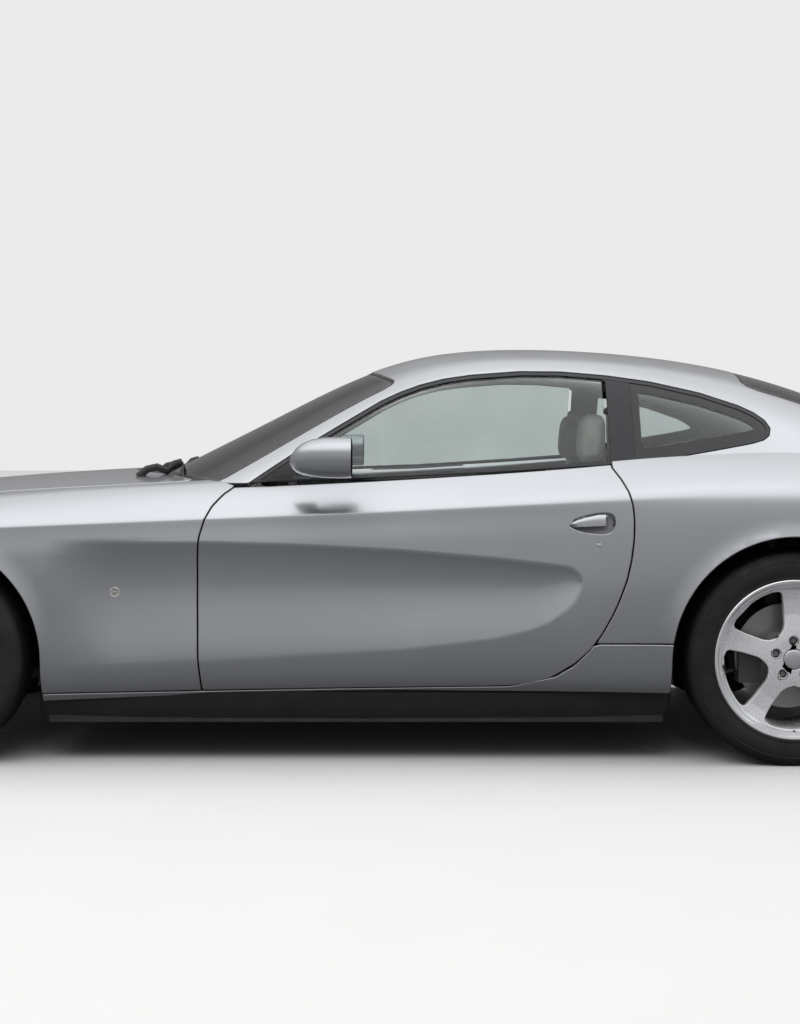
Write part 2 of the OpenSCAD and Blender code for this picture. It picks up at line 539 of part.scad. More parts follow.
module rear_bumper_sheet() difference() {
    intersection() {
        body_slice(steps(16.6, 27.4, 22), [0, 0.6, 1.2, 1.8, 2.4, 3, 3.7, 4.4, 5.1, 6], skin_t);
        across(0, -1200) side_shape(rear_split);
    }
    both_sides() hull() for (y = tip_y, z = [0, fit_z(tip_z)]) translate([fit_x(-2600), fit_y(y), z])
        rotate([0, 90, 0]) cylinder(r = tip_r + 9, h = 600, $fn = 32);
    tow_access(-1);
    arch_cuts();
}
// Front-hinged hood and boot lid turn on pins across the car, in eyes on the body frame
hood_axis = [2190, 767];
boot_axis = [-2033, 982];
hood_pin_y = 150;
boot_pin_y = 350;
lid_pin_r = 8;
lid_arm_t = 16;
lid_eye_r = 15;
module lid_pin(axis, y) translate([fit_x(axis.x), fit_y(y), fit_z(axis.y)]) rotate([90, 0, 0]) {
    cylinder(r = 16, h = lid_arm_t, center = true, $fn = 32);
    cylinder(r = lid_pin_r, h = 2 * lid_arm_t + 20, center = true, $fn = 32);
}
module hood() color("silver") moulded() {
    difference() {
        intersection() {
            body_slice(concat([0.3], steps(0.8, 9.6, 16)), [8.2, 8.7, 9.3, 9.9, 10.5, 11, 11.5, 12.1, 12.7, 13.3, 13.8], lid_t);
            upright() half_plan(hood_half);
        }
        // Pockets that the eyes stand in
        both_sides() translate([fit_x(hood_axis.x) - 22, fit_y(hood_pin_y) - 23, 0])
            cube([44, 46, fit_z(hood_axis.y) + lid_eye_r + 1]);
    }
    both_sides() {
        lid_pin(hood_axis, hood_pin_y);
        translate([fit_x(hood_axis.x) - 14, fit_y(hood_pin_y) - lid_arm_t / 2, fit_z(hood_axis.y) - 6])
            cube([28, lid_arm_t, 27]);
    }
}
// Curved arm of the boot lid, side view from its pin: it passes below the rear deck as the lid opens
boot_neck = [[0, 0], [-12, -130], [-64, -118], [-106, -86], [-134, -40], [-147, -2]];
module boot_lid() color("silver") moulded() {
    intersection() {
        body_slice(steps(17.2, 26.8, 18), [4.5, 5.2, 5.9, 6.6, 7.3, 8, 8.5, 9.2, 10, 10.97], lid_t);
        upright() half_plan(boot_half);
        union() {
            translate([0, 0, fit_z(boot_low_z)]) rear_panel_cut(0);
            translate([-4 * body_w, -body_w, fit_z(900)]) cube([8 * body_w, 2 * body_w, body_h]);
        }
    }
    both_sides() {
        lid_pin(boot_axis, boot_pin_y);
        for (k = [1:len(boot_neck) - 1]) hull() for (p = [boot_neck[k - 1], boot_neck[k]])
            translate([fit_x(boot_axis.x) + p.x, fit_y(boot_pin_y), fit_z(boot_axis.y) + p.y])
                rotate([90, 0, 0]) cylinder(r = 9, h = lid_arm_t, center = true, $fn = 16);
    }
}
// ---- Glass and lamps ----

screen_rows = [3.2, 3.8, 4.2, 4.6, 5, 5.5, 6, 6.5, 7, 7.4, 7.8, 8.2, 8.8];
module windscreen() color("lightslategray") moulded() intersection() {
    dome_slice(steps(0.2, 4.2, 8), screen_rows, glass_t, -screen_sink);
    upright(-panel_gap / 2) half_plan(windscreen_half);
    translate([-4 * body_w, -body_w, fit_z(905)]) cube([8 * body_w, 2 * body_w, body_h]);
}
module rear_window() color("lightslategray") moulded() intersection() {
    dome_slice(steps(8.6, 12.6, 8), screen_rows, glass_t, -back_sink);
    upright(-0.5) half_plan(rear_window_half);
}
module side_glass() dome_slice(glass_steps, glass_rows, glass_t, -5);
module quarter_windows() color("lightslategray") both_sides() moulded() intersection() {
    side_glass();
    across(-4) quarter_window();
}
// Everything up to just above the door's top face
module above_door() translate([0, 40, 0.8]) body_slice(door_steps, [6, 7.5, 8], door_t + 80, [0, -1, 0]);
module left_glass_solid() moulded() difference() {
    intersection() {
        side_glass();
        across(-8) door_window();
        translate([fit_x(sail_x) - wheelbase, 0, 0]) cube([wheelbase, body_w, body_h]);
    }
    above_door();
}
module left_door_glass() color("lightslategray") left_glass_solid();
module right_door_glass() color("lightslategray") mirror([0, 1, 0]) left_glass_solid();
module headlamps() color("whitesmoke") both_sides() moulded() intersection() {
    union() {
        body_slice(steps(1.6, 5, 8), [4.4, 5, 5.6, 6.2, 6.8, 7.4, 8, 8.5, 9, 9.6], 34);
        tab([fit_x(lamp_post.x), fit_y(lamp_post.y), fit_z(lamp_post.z)],
            [fit_x(lamp_post.x) + 34, fit_y(lamp_post.y) + 40, body_h], steps(1, 4, 6), [6, 7, 8, 9, 10], 150, [0, 0, -1]);
    }
    translate([0, 0, fit_z(lamp_low_z)]) upright() plan_shape(headlamp_outline);
}
lamp_post = [2210, 556, 632];
lamp_low_z = 604;
lamp_r = 56;
lamp_places = [[628, 772], [762, 780]];
lamp_back_x = [-2300, -2205];
module lamp_shapes(r, length) for (k = [0, 1])
    translate([fit_x(lamp_back_x[k]) + 50 - length, fit_y(lamp_places[k].x), fit_z(lamp_places[k].y)])
        rotate([0, 90, 0]) cylinder(r = r, h = length);
module tail_lamps() color("firebrick") both_sides() lamp_shapes(lamp_r, 70);
firewall_top = 840;
module cowl_panel() color("dimgray") moulded() {
    difference() {
        intersection() {
            body_slice(steps(7.4, 9.6, 7), [8.3, 8.8, 9.3, 10, 10.5, 11, 11.5, 12, 12.7, 13.2, 13.7], 14);
            upright() cowl_plan(0);
        }
        upright(panel_gap) half_plan(hood_half);
        upright(1) half_plan(windscreen_half);
        translate([-4 * body_w, -body_w, 0]) cube([4 * body_w + fit_x(513), 2 * body_w, body_h]);
    }
    both_sides() tab([fit_x(751), fit_y(50), fit_z(firewall_top)], [fit_x(770), fit_y(90), body_h],
        steps(7.6, 9.4, 3), [9, 10, 11], 160, [0, 0, -1]);
}

// ---- Doors ----

door_max = 65;
module door_skin(side) color("silver") mirror([0, side > 0 ? 0 : 1, 0]) left_door_solid();
module left_door() door_skin(1);
module right_door() door_skin(-1);
eye_r = pin_r + 6;
// Door half of each hinge: a leaf on the door's front face with a pin through the body's two eyes
module door_hinge_set() color("dimgray") for (z = hinge_z) translate([hinge_x, hinge_y, z]) {
    cylinder(r = eye_r, h = eye_h, center = true);
    cylinder(r = pin_r, h = 3 * eye_h - 8, center = true);
    translate([-16 - core_gap + 0.3, -eye_r - 8, -eye_h / 2]) cube([15.7 + core_gap, eye_r + 8, eye_h]);
}
// Body half: two eyes on a bracket from the door post
module body_hinge_set() for (z = hinge_z) for (k = [-1, 1]) translate([hinge_x, hinge_y, z + k * (eye_h + 2)])
    difference() {
        union() {
            cylinder(r = eye_r, h = eye_h - 4, center = true);
            translate([-2, -post_gap - 1, -eye_h / 2 + 2]) cube([eye_r + 2, post_gap + 1, eye_h - 4]);
        }
        cylinder(r = pin_r + pin_play, h = 2 * eye_h, center = true);
    }
post_gap = 58;
module left_door_hinges() door_hinge_set();
module right_door_hinges() mirror([0, 1, 0]) door_hinge_set();
mirror_x = 140;
mirror_y = 985;
mirror_z = 1020;
sail_x = 215;
module mirror_shape() color("silver") moulded() {
    difference() {
        intersection() {
            side_glass();
            across(-8) door_window();
            translate([fit_x(sail_x) + 1, 0, 0]) cube([wheelbase, body_w, body_h]);
        }
        above_door();
    }
    difference() {
        union() {
            hull() {
                for (e = [-1, 1]) translate([fit_x(mirror_x) - 60, fit_y(mirror_y) + 42 * e, fit_z(mirror_z) + 2])
                    rotate([0, -90, 0]) cylinder(r = 66 - 2 * e, h = 44, $fn = 28);
                translate([fit_x(mirror_x) + 50, fit_y(mirror_y) - 25, fit_z(mirror_z) - 4]) sphere(r = 46, $fn = 20);
            }
            hull() {
                translate([fit_x(mirror_x) + 10, fit_y(mirror_y) - 64, fit_z(mirror_z) - 36]) sphere(r = 20, $fn = 16);
                translate([fit_x(sail_x + 28), belt_at(sail_x).y - 10, belt_at(sail_x).z + 14]) sphere(r = 20, $fn = 16);
                translate([fit_x(sail_x + 70), belt_at(sail_x).y - 14, belt_at(sail_x).z + 8]) sphere(r = 12, $fn = 16);
            }
        }
        above_door();
        dome_slice(glass_steps, glass_rows, 200, -8);
    }
}
function belt_at(x) = on_body(station_at(x), 8);
module left_mirror() mirror_shape();
module right_mirror() mirror([0, 1, 0]) mirror_shape();

// ---- Wheels ----

module on_axle(x, r) translate([x, 0, r]) rotate([-90, 0, 0]) children();
module rim(w) translate([0, 0, wheel_face_y]) {
    rotate_extrude($fn = 96) polygon([[rim_r - 10, -6], [rim_r, -6], [rim_r, -16], [rim_r - 20, -25],
        [rim_r - 20, 24 - w], [rim_r, 15 - w], [rim_r, 6 - w], [rim_r - 10, 6 - w], [rim_r - 32, 26 - w],
        [rim_r - 32, -42]]);
    difference() {
        union() {
            translate([0, 0, -92]) cylinder(r = bolt_circle_r + 22, h = 66);
            translate([0, 0, -44]) linear_extrude(26) {
                circle(r = 46);
                for (k = [0:spokes - 1]) rotate(90 + k * 360 / spokes)
                    polygon([[30, -30], [120, -23], [rim_r - 36, -36], [rim_r - 28, -42], [rim_r - 28, 42],
                        [rim_r - 36, 36], [120, 23], [30, 30]]);
            }
        }
        for (k = [0:bolts - 1]) rotate(90 + k * 360 / bolts) translate([bolt_circle_r, 0, -100])
            cylinder(r = 7.5, h = 200);
        translate([0, 0, -93]) cylinder(r = 36, h = 40);
    }
}
module tyre(r, w) color("black") translate([0, 0, wheel_face_y]) rotate_extrude($fn = 96) polygon([
    [rim_r - 19.6, -25.8], [rim_r - 19.6, 25 - w], [rim_r + 0.5, 15 - w], [rim_r + 0.5, 10 - w], [rim_r + 14, 3 - w],
    [rim_r + 40, -w], [r - 24, 5 - w], [r - 8, 15 - w], [r - 1, 34 - w], [r, 60 - w], [r, -60], [r - 1, -34],
    [r - 8, -15], [r - 24, -5], [rim_r + 40, 0], [rim_r + 14, -3], [rim_r + 0.5, -10], [rim_r + 0.5, -16.8]]);
module disc() color("dimgray") difference() {
    union() {
        translate([0, 0, disc_y - disc_t / 2]) cylinder(r = disc_r, h = disc_t, $fn = 96);
        translate([0, 0, disc_y]) cylinder(r = bolt_circle_r + 22, h = hub_face_y - disc_y);
    }
    translate([0, 0, disc_y - disc_t]) cylinder(r = spindle_r + pin_play, h = hub_face_y - disc_y + disc_t - 8);
}
spindle_r = 22;
upright_w = 70;
upright_t = 34;
upright_h = 210;
caliper_gap = 5;
// Hub carrier with its spindle and caliper. lead is 1 where the caliper is ahead of the axle, -1 behind.
module hub_carrier(lead) color("dimgray") {
    translate([-upright_w / 2, -upright_h / 2, steer_y - upright_t / 2]) cube([upright_w, upright_h, upright_t]);
    translate([0, 0, steer_y]) cylinder(r = spindle_r, h = hub_face_y - 12 - steer_y);
    translate([0, 0, steer_y]) cylinder(r = 46, h = disc_y - disc_t / 2 - caliper_gap - steer_y);
    difference() {
        translate([lead > 0 ? 92 : -92 - 76, -62, disc_y - disc_t / 2 - 30]) cube([76, 150, disc_t + 60]);
        translate([0, 0, disc_y - disc_t / 2 - caliper_gap])
            cylinder(r = disc_r + caliper_gap, h = disc_t + 2 * caliper_gap, $fn = 96);
    }
    translate([lead > 0 ? 0 : -100, -30, steer_y - upright_t / 2]) cube([100, 60, 24]);
    translate([lead > 0 ? 92 : -110, -30, steer_y - upright_t / 2])
        cube([18, 60, disc_y - disc_t / 2 - 28 - steer_y + upright_t / 2]);
}
steer_pin_r = 12;
arm_t = 30;
module knuckle() {
    on_axle(front_x, front_tyre_r) hub_carrier(-1);
    color("dimgray") translate([front_x, steer_y, front_tyre_r])
        cylinder(r = steer_pin_r, h = upright_h + 2 * (arm_t + 3), center = true);
}
// Upper and lower arms that carry a hub carrier, with eyes for its pins
module arms(x, r, bored) for (k = [-1, 1]) translate([x, steer_y, r + k * (upright_h / 2 + 3 + arm_t / 2)])
    difference() {
        union() {
            cylinder(r = 26, h = arm_t, center = true);
            translate([-26, -(steer_y - arm_root_y), -arm_t / 2]) cube([52, steer_y - arm_root_y, arm_t]);
        }
        if (bored) cylinder(r = steer_pin_r + pin_play, h = 2 * arm_t, center = true);
    }
arm_root_y = 330;
module subframe(x, r, bored) {
    translate([x - 60, -arm_root_y - 20, r - upright_h / 2 - 3 - arm_t]) cube([120, 2 * (arm_root_y + 20), 40]);
    both_sides() {
        translate([x - 50, arm_root_y - 20, r - upright_h / 2 - 3 - arm_t]) cube([100, rail_y[0] - arm_root_y + 20, upright_h + 6 + 2 * arm_t]);
        arms(x, r, bored);
        translate([x, 520, r + upright_h / 2 + 3]) cylinder(r = 38, h = fit_z(790) - r - upright_h / 2);
    }
}
module front_subframe() color("dimgray") subframe(front_x, front_tyre_r, true);
module rear_subframe() color("dimgray") {
    subframe(rear_x, rear_tyre_r, false);
    both_sides() {
        on_axle(rear_x, rear_tyre_r) hub_carrier(1);
        for (k = [-1, 1]) translate([rear_x, steer_y, rear_tyre_r + k * (upright_h / 2 + 2)])
            cube([50, upright_t, 8], center = true);
    }
}

// ---- Underbody and engine bay ----

floor_t = 26;
sill_box_y = [752, 846];
sill_top = 240;
post_x = [hinge_x - 6, hinge_x + 74];
module box_between(a, b) translate(a) cube(b - a);
module pair_box(a, b) both_sides() box_between(a, b);
rail_y = [372, 436];
rail_z = [262, 372];
rear_shelf_z = rear_tyre_r + upright_h / 2 + 3 + arm_t;
boot_floor_z = 310;
front_beam_z = [330, 480];
module floor_pan() color([0.12, 0.12, 0.13]) {
    post_face = hinge_y - post_gap;
    // Floor, sill boxes, tunnel and firewall
    box_between([fit_x(-1000), -fit_y(sill_box_y[1]), ground_gap],
        [fit_x(1052), fit_y(sill_box_y[1]), ground_gap + floor_t]);
    pair_box([fit_x(-1000), fit_y(sill_box_y[0]), ground_gap], [fit_x(1052), fit_y(sill_box_y[1]), sill_top]);
    box_between([fit_x(-900), -110, ground_gap], [fit_x(690), 110, 330]);
    box_between([fit_x(690), -fit_y(745), ground_gap], [fit_x(712), fit_y(745), fit_z(firewall_top)]);
    // Cowl bearer
    pair_box([fit_x(712), fit_y(40), fit_z(firewall_top) - 30], [fit_x(775), fit_y(100), fit_z(firewall_top)]);
    // Rear floor with its step over the axle, and the boot
    box_between([fit_x(-960), -rail_y[1], ground_gap], [fit_x(-935), rail_y[1], 300]);
    box_between([fit_x(-1290), -rail_y[1], 275], [fit_x(-935), rail_y[1], 300]);
    box_between([fit_x(-1290), -rail_y[1], 275], [fit_x(-1268), rail_y[1], rear_shelf_z + 20]);
    box_between([fit_x(-1560), -rail_y[1], rear_shelf_z], [fit_x(-1268), rail_y[1], rear_shelf_z + 20]);
    box_between([fit_x(-1560), -rail_y[1], boot_floor_z], [fit_x(-1538), rail_y[1], rear_shelf_z + 20]);
    box_between([fit_x(-2250), -rail_y[1], boot_floor_z], [fit_x(-1538), rail_y[1], boot_floor_z + 25]);
    pair_box([fit_x(-2205), rail_y[1] - 12, boot_floor_z], [fit_x(-1538), rail_y[1], fit_z(930)]);
    // Front rails and the two bumper beams
    pair_box([fit_x(712), rail_y[0], rail_z[0]], [fit_x(2235), rail_y[1], rail_z[1]]);
    box_between([fit_x(2215), -fit_y(600), front_beam_z[0]], [fit_x(beam_x[0]), fit_y(600), front_beam_z[1]]);
    box_between([fit_x(beam_x[1]), -fit_y(600), front_beam_z[0]], [fit_x(-2240), fit_y(600), front_beam_z[1]]);
    // Door posts
    pair_box([post_x[0], post_face - 70, ground_gap], [post_x[1], post_face, fit_z(835)]);
    pair_box([post_x[1] - 1, post_face - 70, fit_z(700)], [fit_x(712), post_face, fit_z(835)]);
    pair_box([fit_x(-985), fit_y(post_out_y) - 70, ground_gap], [fit_x(-915), fit_y(post_out_y), fit_z(940)]);
    both_sides() body_hinge_set();
    // Posts with eyes for the hood and the boot lid, and posts under the headlamps
    both_sides() {
        lid_eyes(hood_axis, hood_pin_y, front_beam_z[1] - 1);
        lid_eyes(boot_axis, boot_pin_y, fit_z(895));
    }
    pair_box([fit_x(lamp_post.x), fit_y(lamp_post.y), front_beam_z[1] - 1],
        [fit_x(lamp_post.x) + 34, fit_y(lamp_post.y) + 40, fit_z(lamp_post.z) - 0.3]);
    pair_box([fit_x(hood_axis.x), fit_y(hood_pin_y) - 18, front_beam_z[1] - 1],
        [fit_x(beam_x[0]), fit_y(hood_pin_y) + 18, front_beam_z[1] + 60]);
    pair_box([fit_x(boot_axis.x) + 20, fit_y(boot_pin_y) - 18, fit_z(895)],
        [fit_x(boot_axis.x) + 50, rail_y[1], fit_z(920)]);
    pair_box([fit_x(boot_axis.x), fit_y(boot_pin_y) - 18, fit_z(895)],
        [fit_x(boot_axis.x) + 50, fit_y(boot_pin_y) - 9, fit_z(970)]);
    pair_box([fit_x(boot_axis.x), fit_y(boot_pin_y) + 9, fit_z(895)],
        [fit_x(boot_axis.x) + 50, fit_y(boot_pin_y) + 18, fit_z(970)]);
    for (e = [1, -1]) difference() {
        translate([e > 0 ? fit_x(2240) : fit_x(-2340), e * fit_y(tow_y), fit_z(tow_z)]) rotate([0, 90, 0])
            cylinder(r = 20, h = fit_x(2320) - fit_x(2240));
        translate([e > 0 ? fit_x(2240) + 20 : fit_x(-2340) - 1, e * fit_y(tow_y), fit_z(tow_z)]) rotate([0, 90, 0])
            cylinder(r = tow_thread_r, h = fit_x(2320) - fit_x(2240) - 19);
    }
}
// Two plates with bored eyes, one on each side of a lid's arm
module lid_eyes(axis, y, from_z) for (k = [-1, 1])
    translate([fit_x(axis.x), fit_y(y) + k * (lid_arm_t / 2 + 5.5), fit_z(axis.y)]) difference() {
        union() {
            rotate([90, 0, 0]) cylinder(r = lid_eye_r, h = 9, center = true);
            translate([-lid_eye_r, -4.5, from_z - fit_z(axis.y)]) cube([1.4 * lid_eye_r, 9, fit_z(axis.y) - from_z]);
        }
        rotate([90, 0, 0]) cylinder(r = lid_pin_r + pin_play, h = 30, center = true);
    }
tow_thread_r = 10;
liner_t = 5;
liner_r = arch_r - 8;
liner_in_y = rail_y[1] + 0.3;
liner_out_y = 872;
module liner(x, r, gap) translate([x, 0, r]) difference() {
    rotate([-90, 0, 0]) translate([0, 0, liner_in_y]) cylinder(r = liner_r + liner_t, h = liner_out_y - liner_in_y, $fn = 96);
    rotate([-90, 0, 0]) translate([0, 0, liner_in_y + liner_t]) cylinder(r = liner_r, h = body_w, $fn = 96);
    translate([-gap / 2, 0, -body_h]) cube([gap, body_w, body_h + upright_h / 2 + 60]);
    translate([0, 520, 0]) cylinder(r = 48, h = body_h);
    translate([-body_h, 0, -body_h]) cube([2 * body_h, body_w, body_h - 90]);
}
module arch_liners() color("black") both_sides() {
    liner(front_x, front_tyre_r, 260);
    liner(rear_x, rear_tyre_r, 260);
}
module engine() color("gray") {
    box_between([fit_x(770), -290, 205], [fit_x(770) + 640, 290, 800]);
    pair_box([fit_x(780) + 240, 289, 290], [fit_x(780) + 310, rail_y[0], 350]);
}
module exhaust() color("silver") {
    box_between([fit_x(-2180), -600, 175], [fit_x(-1960), 600, 268]);
    both_sides() for (y = tip_y) translate([fit_x(-2190), fit_y(y), fit_z(tip_z)]) rotate([0, -90, 0])
        difference() {
            cylinder(r = tip_r, h = fit_x(-2190) - fit_x(-2408));
            translate([0, 0, 40]) cylinder(r = tip_r - 4, h = 400);
        }
    pair_box([fit_x(-2100), 280, 267], [fit_x(-2060), 320, boot_floor_z]);
    both_sides() for (y = tip_y) box_between([fit_x(-2200), fit_y(y) - 20, 225], [fit_x(-2170), fit_y(y) + 20, 268]);
}
module grille() color("dimgray") {
    for (k = [0:5]) box_between([fit_x(2300), -fit_y(mouth_y) - 20, fit_z(mouth_z[0]) + 4 + k * 36],
        [fit_x(2300) + 14, fit_y(mouth_y) + 20, fit_z(mouth_z[0]) + 16 + k * 36]);
    for (y = [-mouth_y - 6, -216, -2, 214, mouth_y - 6]) box_between(
        [fit_x(beam_x[0]), fit_y(y), fit_z(mouth_z[0])], [fit_x(2300) + 13, fit_y(y) + 12, fit_z(mouth_z[1])]);
}

// ---- Cabin ----

dash_x = [420, 680];
column_tilt = 22;
column_from = [470, 375, 712];
column_l = 250;
column_r = 30;
shaft_r = 11;
module on_column() translate([fit_x(column_from.x), seat_y, column_from.z]) rotate([0, column_tilt - 90, 0]) children();
module dashboard() color([0.35, 0.33, 0.3]) {
    difference() {
        translate([0, fit_y(690), 0]) rotate([90, 0, 0]) linear_extrude(2 * fit_y(690)) polygon([
            [fit_x(690) - 0.3, 480], [fit_x(690) - 0.3, 838], [fit_x(600), 880], [fit_x(470), 888], [fit_x(420), 868],
            [fit_x(396), 800], [fit_x(420), 700], [fit_x(500), 640], [fit_x(560), 480]]);
        on_column() cylinder(r = column_r, h = 4 * column_l, center = true);
    }
    on_column() difference() {
        translate([0, 0, -60]) cylinder(r = column_r, h = column_l + 60);
        translate([0, 0, 40]) cylinder(r = shaft_r + pin_play, h = column_l);
    }
    box_between([fit_x(-150), -100, 330.3], [fit_x(520), 100, 560]);
}
module steering_wheel() color("black") on_column() {
    translate([0, 0, 60]) cylinder(r = shaft_r, h = column_l - 20);
    translate([0, 0, column_l + 8]) cylinder(r = 62, h = 34);
    translate([0, 0, column_l + 26]) rotate_extrude($fn = 96) translate([steering_wheel_r - 15, 0]) circle(r = 15, $fn = 32);
    for (a = [90, 210, 330]) rotate(a + 90) translate([40, -16, column_l + 20]) cube([steering_wheel_r - 60, 32, 12]);
}
seat_x = -720;
seat_floor = ground_gap + floor_t + 0.3;
module extrude_y(from, to, points) translate([0, to, 0]) rotate([90, 0, 0]) linear_extrude(to - from) polygon(points);
module front_seat() color([0.72, 0.68, 0.6]) translate([fit_x(seat_x), 0, 0]) {
    w = seat_w / 2;
    extrude_y(seat_y - w, seat_y + w, [[0, seat_floor], [660, seat_floor], [690, 330], [680, 395], [640, 415], [160, 375],
        [100, 440], [-30, 985], [-80, 1000], [-130, 970], [-20, 380], [-40, 300]]);
    extrude_y(seat_y - 110, seat_y + 110, [[-30, 980], [-30, 1100], [-45, 1150], [-78, 1172], [-125, 1150], [-138, 1040],
        [-120, 960]]);
}
module left_seat() front_seat();
module right_seat() mirror([0, 1, 0]) front_seat();
module rear_seat() color([0.72, 0.68, 0.6]) extrude_y(-rail_y[1], rail_y[1], [[fit_x(-936), 300.3],
    [fit_x(-930), 430], [fit_x(-980), 455], [fit_x(-1210), 420], [fit_x(-1330), 860], [fit_x(-1370), 880],
    [fit_x(-1392), 850], [fit_x(-1267), 560], [fit_x(-1267), 300.3]]);

sills();
left_front_fender();
right_front_fender();
left_rear_quarter();
right_rear_quarter();
roof_panel();
cowl_panel();
front_bumper();
rear_bumper();
windscreen();
rear_window();
quarter_windows();
headlamps();
tail_lamps();
hood();
boot_lid();
left_door();
right_door();
left_door_glass();
right_door_glass();
floor_pan();
arch_liners();
grille();
dashboard();
left_seat();
right_seat();
rear_seat();
engine();
exhaust();
front_subframe();
rear_subframe();
steering_wheel();
left_door_hinges();
right_door_hinges();
left_mirror();
right_mirror();
knuckle();  // left_knuckle
color("silver") on_axle(front_x, front_tyre_r) rim(front_tyre_w);  // left_front_wheel
on_axle(front_x, front_tyre_r) tyre(front_tyre_r, front_tyre_w);  // left_front_tyre
on_axle(front_x, front_tyre_r) disc();  // left_front_disc
color("silver") on_axle(rear_x, rear_tyre_r) rim(rear_tyre_w);  // left_rear_wheel
on_axle(rear_x, rear_tyre_r) tyre(rear_tyre_r, rear_tyre_w);  // left_rear_tyre
on_axle(rear_x, rear_tyre_r) disc();  // left_rear_disc
mirror([0, 1, 0]) knuckle();  // right_knuckle
color("silver") mirror([0, 1, 0]) on_axle(front_x, front_tyre_r) rim(front_tyre_w);  // right_front_wheel
mirror([0, 1, 0]) on_axle(front_x, front_tyre_r) tyre(front_tyre_r, front_tyre_w);  // right_front_tyre
mirror([0, 1, 0]) on_axle(front_x, front_tyre_r) disc();  // right_front_disc
color("silver") mirror([0, 1, 0]) on_axle(rear_x, rear_tyre_r) rim(rear_tyre_w);  // right_rear_wheel
mirror([0, 1, 0]) on_axle(rear_x, rear_tyre_r) tyre(rear_tyre_r, rear_tyre_w);  // right_rear_tyre
mirror([0, 1, 0]) on_axle(rear_x, rear_tyre_r) disc();  // right_rear_disc
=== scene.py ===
"""Looks for the two-door coupe: panels, glass, lamps, wheels, cabin and a plain stage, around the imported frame."""
import json
import math

import bmesh
import bpy
import numpy as np
from bpy.props import FloatProperty, FloatVectorProperty, IntProperty, PointerProperty
from mathutils import Matrix, Vector
from mathutils.bvhtree import BVHTree

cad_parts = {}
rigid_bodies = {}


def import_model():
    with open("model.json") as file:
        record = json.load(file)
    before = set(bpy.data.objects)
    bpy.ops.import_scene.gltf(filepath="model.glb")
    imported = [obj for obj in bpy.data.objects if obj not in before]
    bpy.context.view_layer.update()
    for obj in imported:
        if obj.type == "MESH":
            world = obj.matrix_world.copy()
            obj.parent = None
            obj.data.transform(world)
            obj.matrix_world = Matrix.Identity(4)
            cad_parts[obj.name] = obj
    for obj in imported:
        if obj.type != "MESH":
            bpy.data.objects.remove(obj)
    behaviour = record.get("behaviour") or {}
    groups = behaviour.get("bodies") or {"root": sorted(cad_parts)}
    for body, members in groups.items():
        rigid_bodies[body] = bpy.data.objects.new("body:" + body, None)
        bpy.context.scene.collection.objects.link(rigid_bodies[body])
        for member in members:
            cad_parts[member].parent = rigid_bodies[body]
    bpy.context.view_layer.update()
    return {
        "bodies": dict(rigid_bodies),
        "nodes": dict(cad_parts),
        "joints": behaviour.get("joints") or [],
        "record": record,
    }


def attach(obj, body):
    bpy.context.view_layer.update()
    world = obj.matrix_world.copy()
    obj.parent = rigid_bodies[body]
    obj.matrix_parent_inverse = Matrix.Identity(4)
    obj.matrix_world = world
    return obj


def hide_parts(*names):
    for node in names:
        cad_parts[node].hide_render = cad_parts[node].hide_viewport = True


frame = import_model()

bl_info = {
    "name": "Coupe car looks",
    "version": (1, 0, 0),
    "blender": (4, 5, 0),
    "location": "3D View > Sidebar > Coupe",
    "description": "Builds the panels, glass, wheels, trim and cabin of a two-door coupe over its packed frame",
    "category": "Object",
}

MM = 0.001

# ---- The two smooth sheets that the body panels are cut from, in millimetres ----

# Body stations from the middle of the nose round the side to the middle of the tail:
# x at the side, y at the side, x along the hood or boot deck
STATIONS = np.array([
    (2425, 0, 2345), (2418, 270, 2325), (2360, 530, 2262), (2215, 745, 2150), (1985, 872, 1975),
    (1715, 922, 1730), (1440, 938, 1445), (1150, 935, 1150), (850, 924, 850), (550, 916, 550),
    (250, 912, 250), (-50, 914, -50), (-350, 922, -350), (-650, 936, -650), (-950, 955, -950),
    (-1230, 969, -1230), (-1500, 972, -1500), (-1770, 950, -1760), (-2020, 890, -1990),
    (-2220, 770, -2170), (-2365, 560, -2295), (-2418, 285, -2368), (-2425, 0, -2388)], float)
LAST = len(STATIONS) - 1
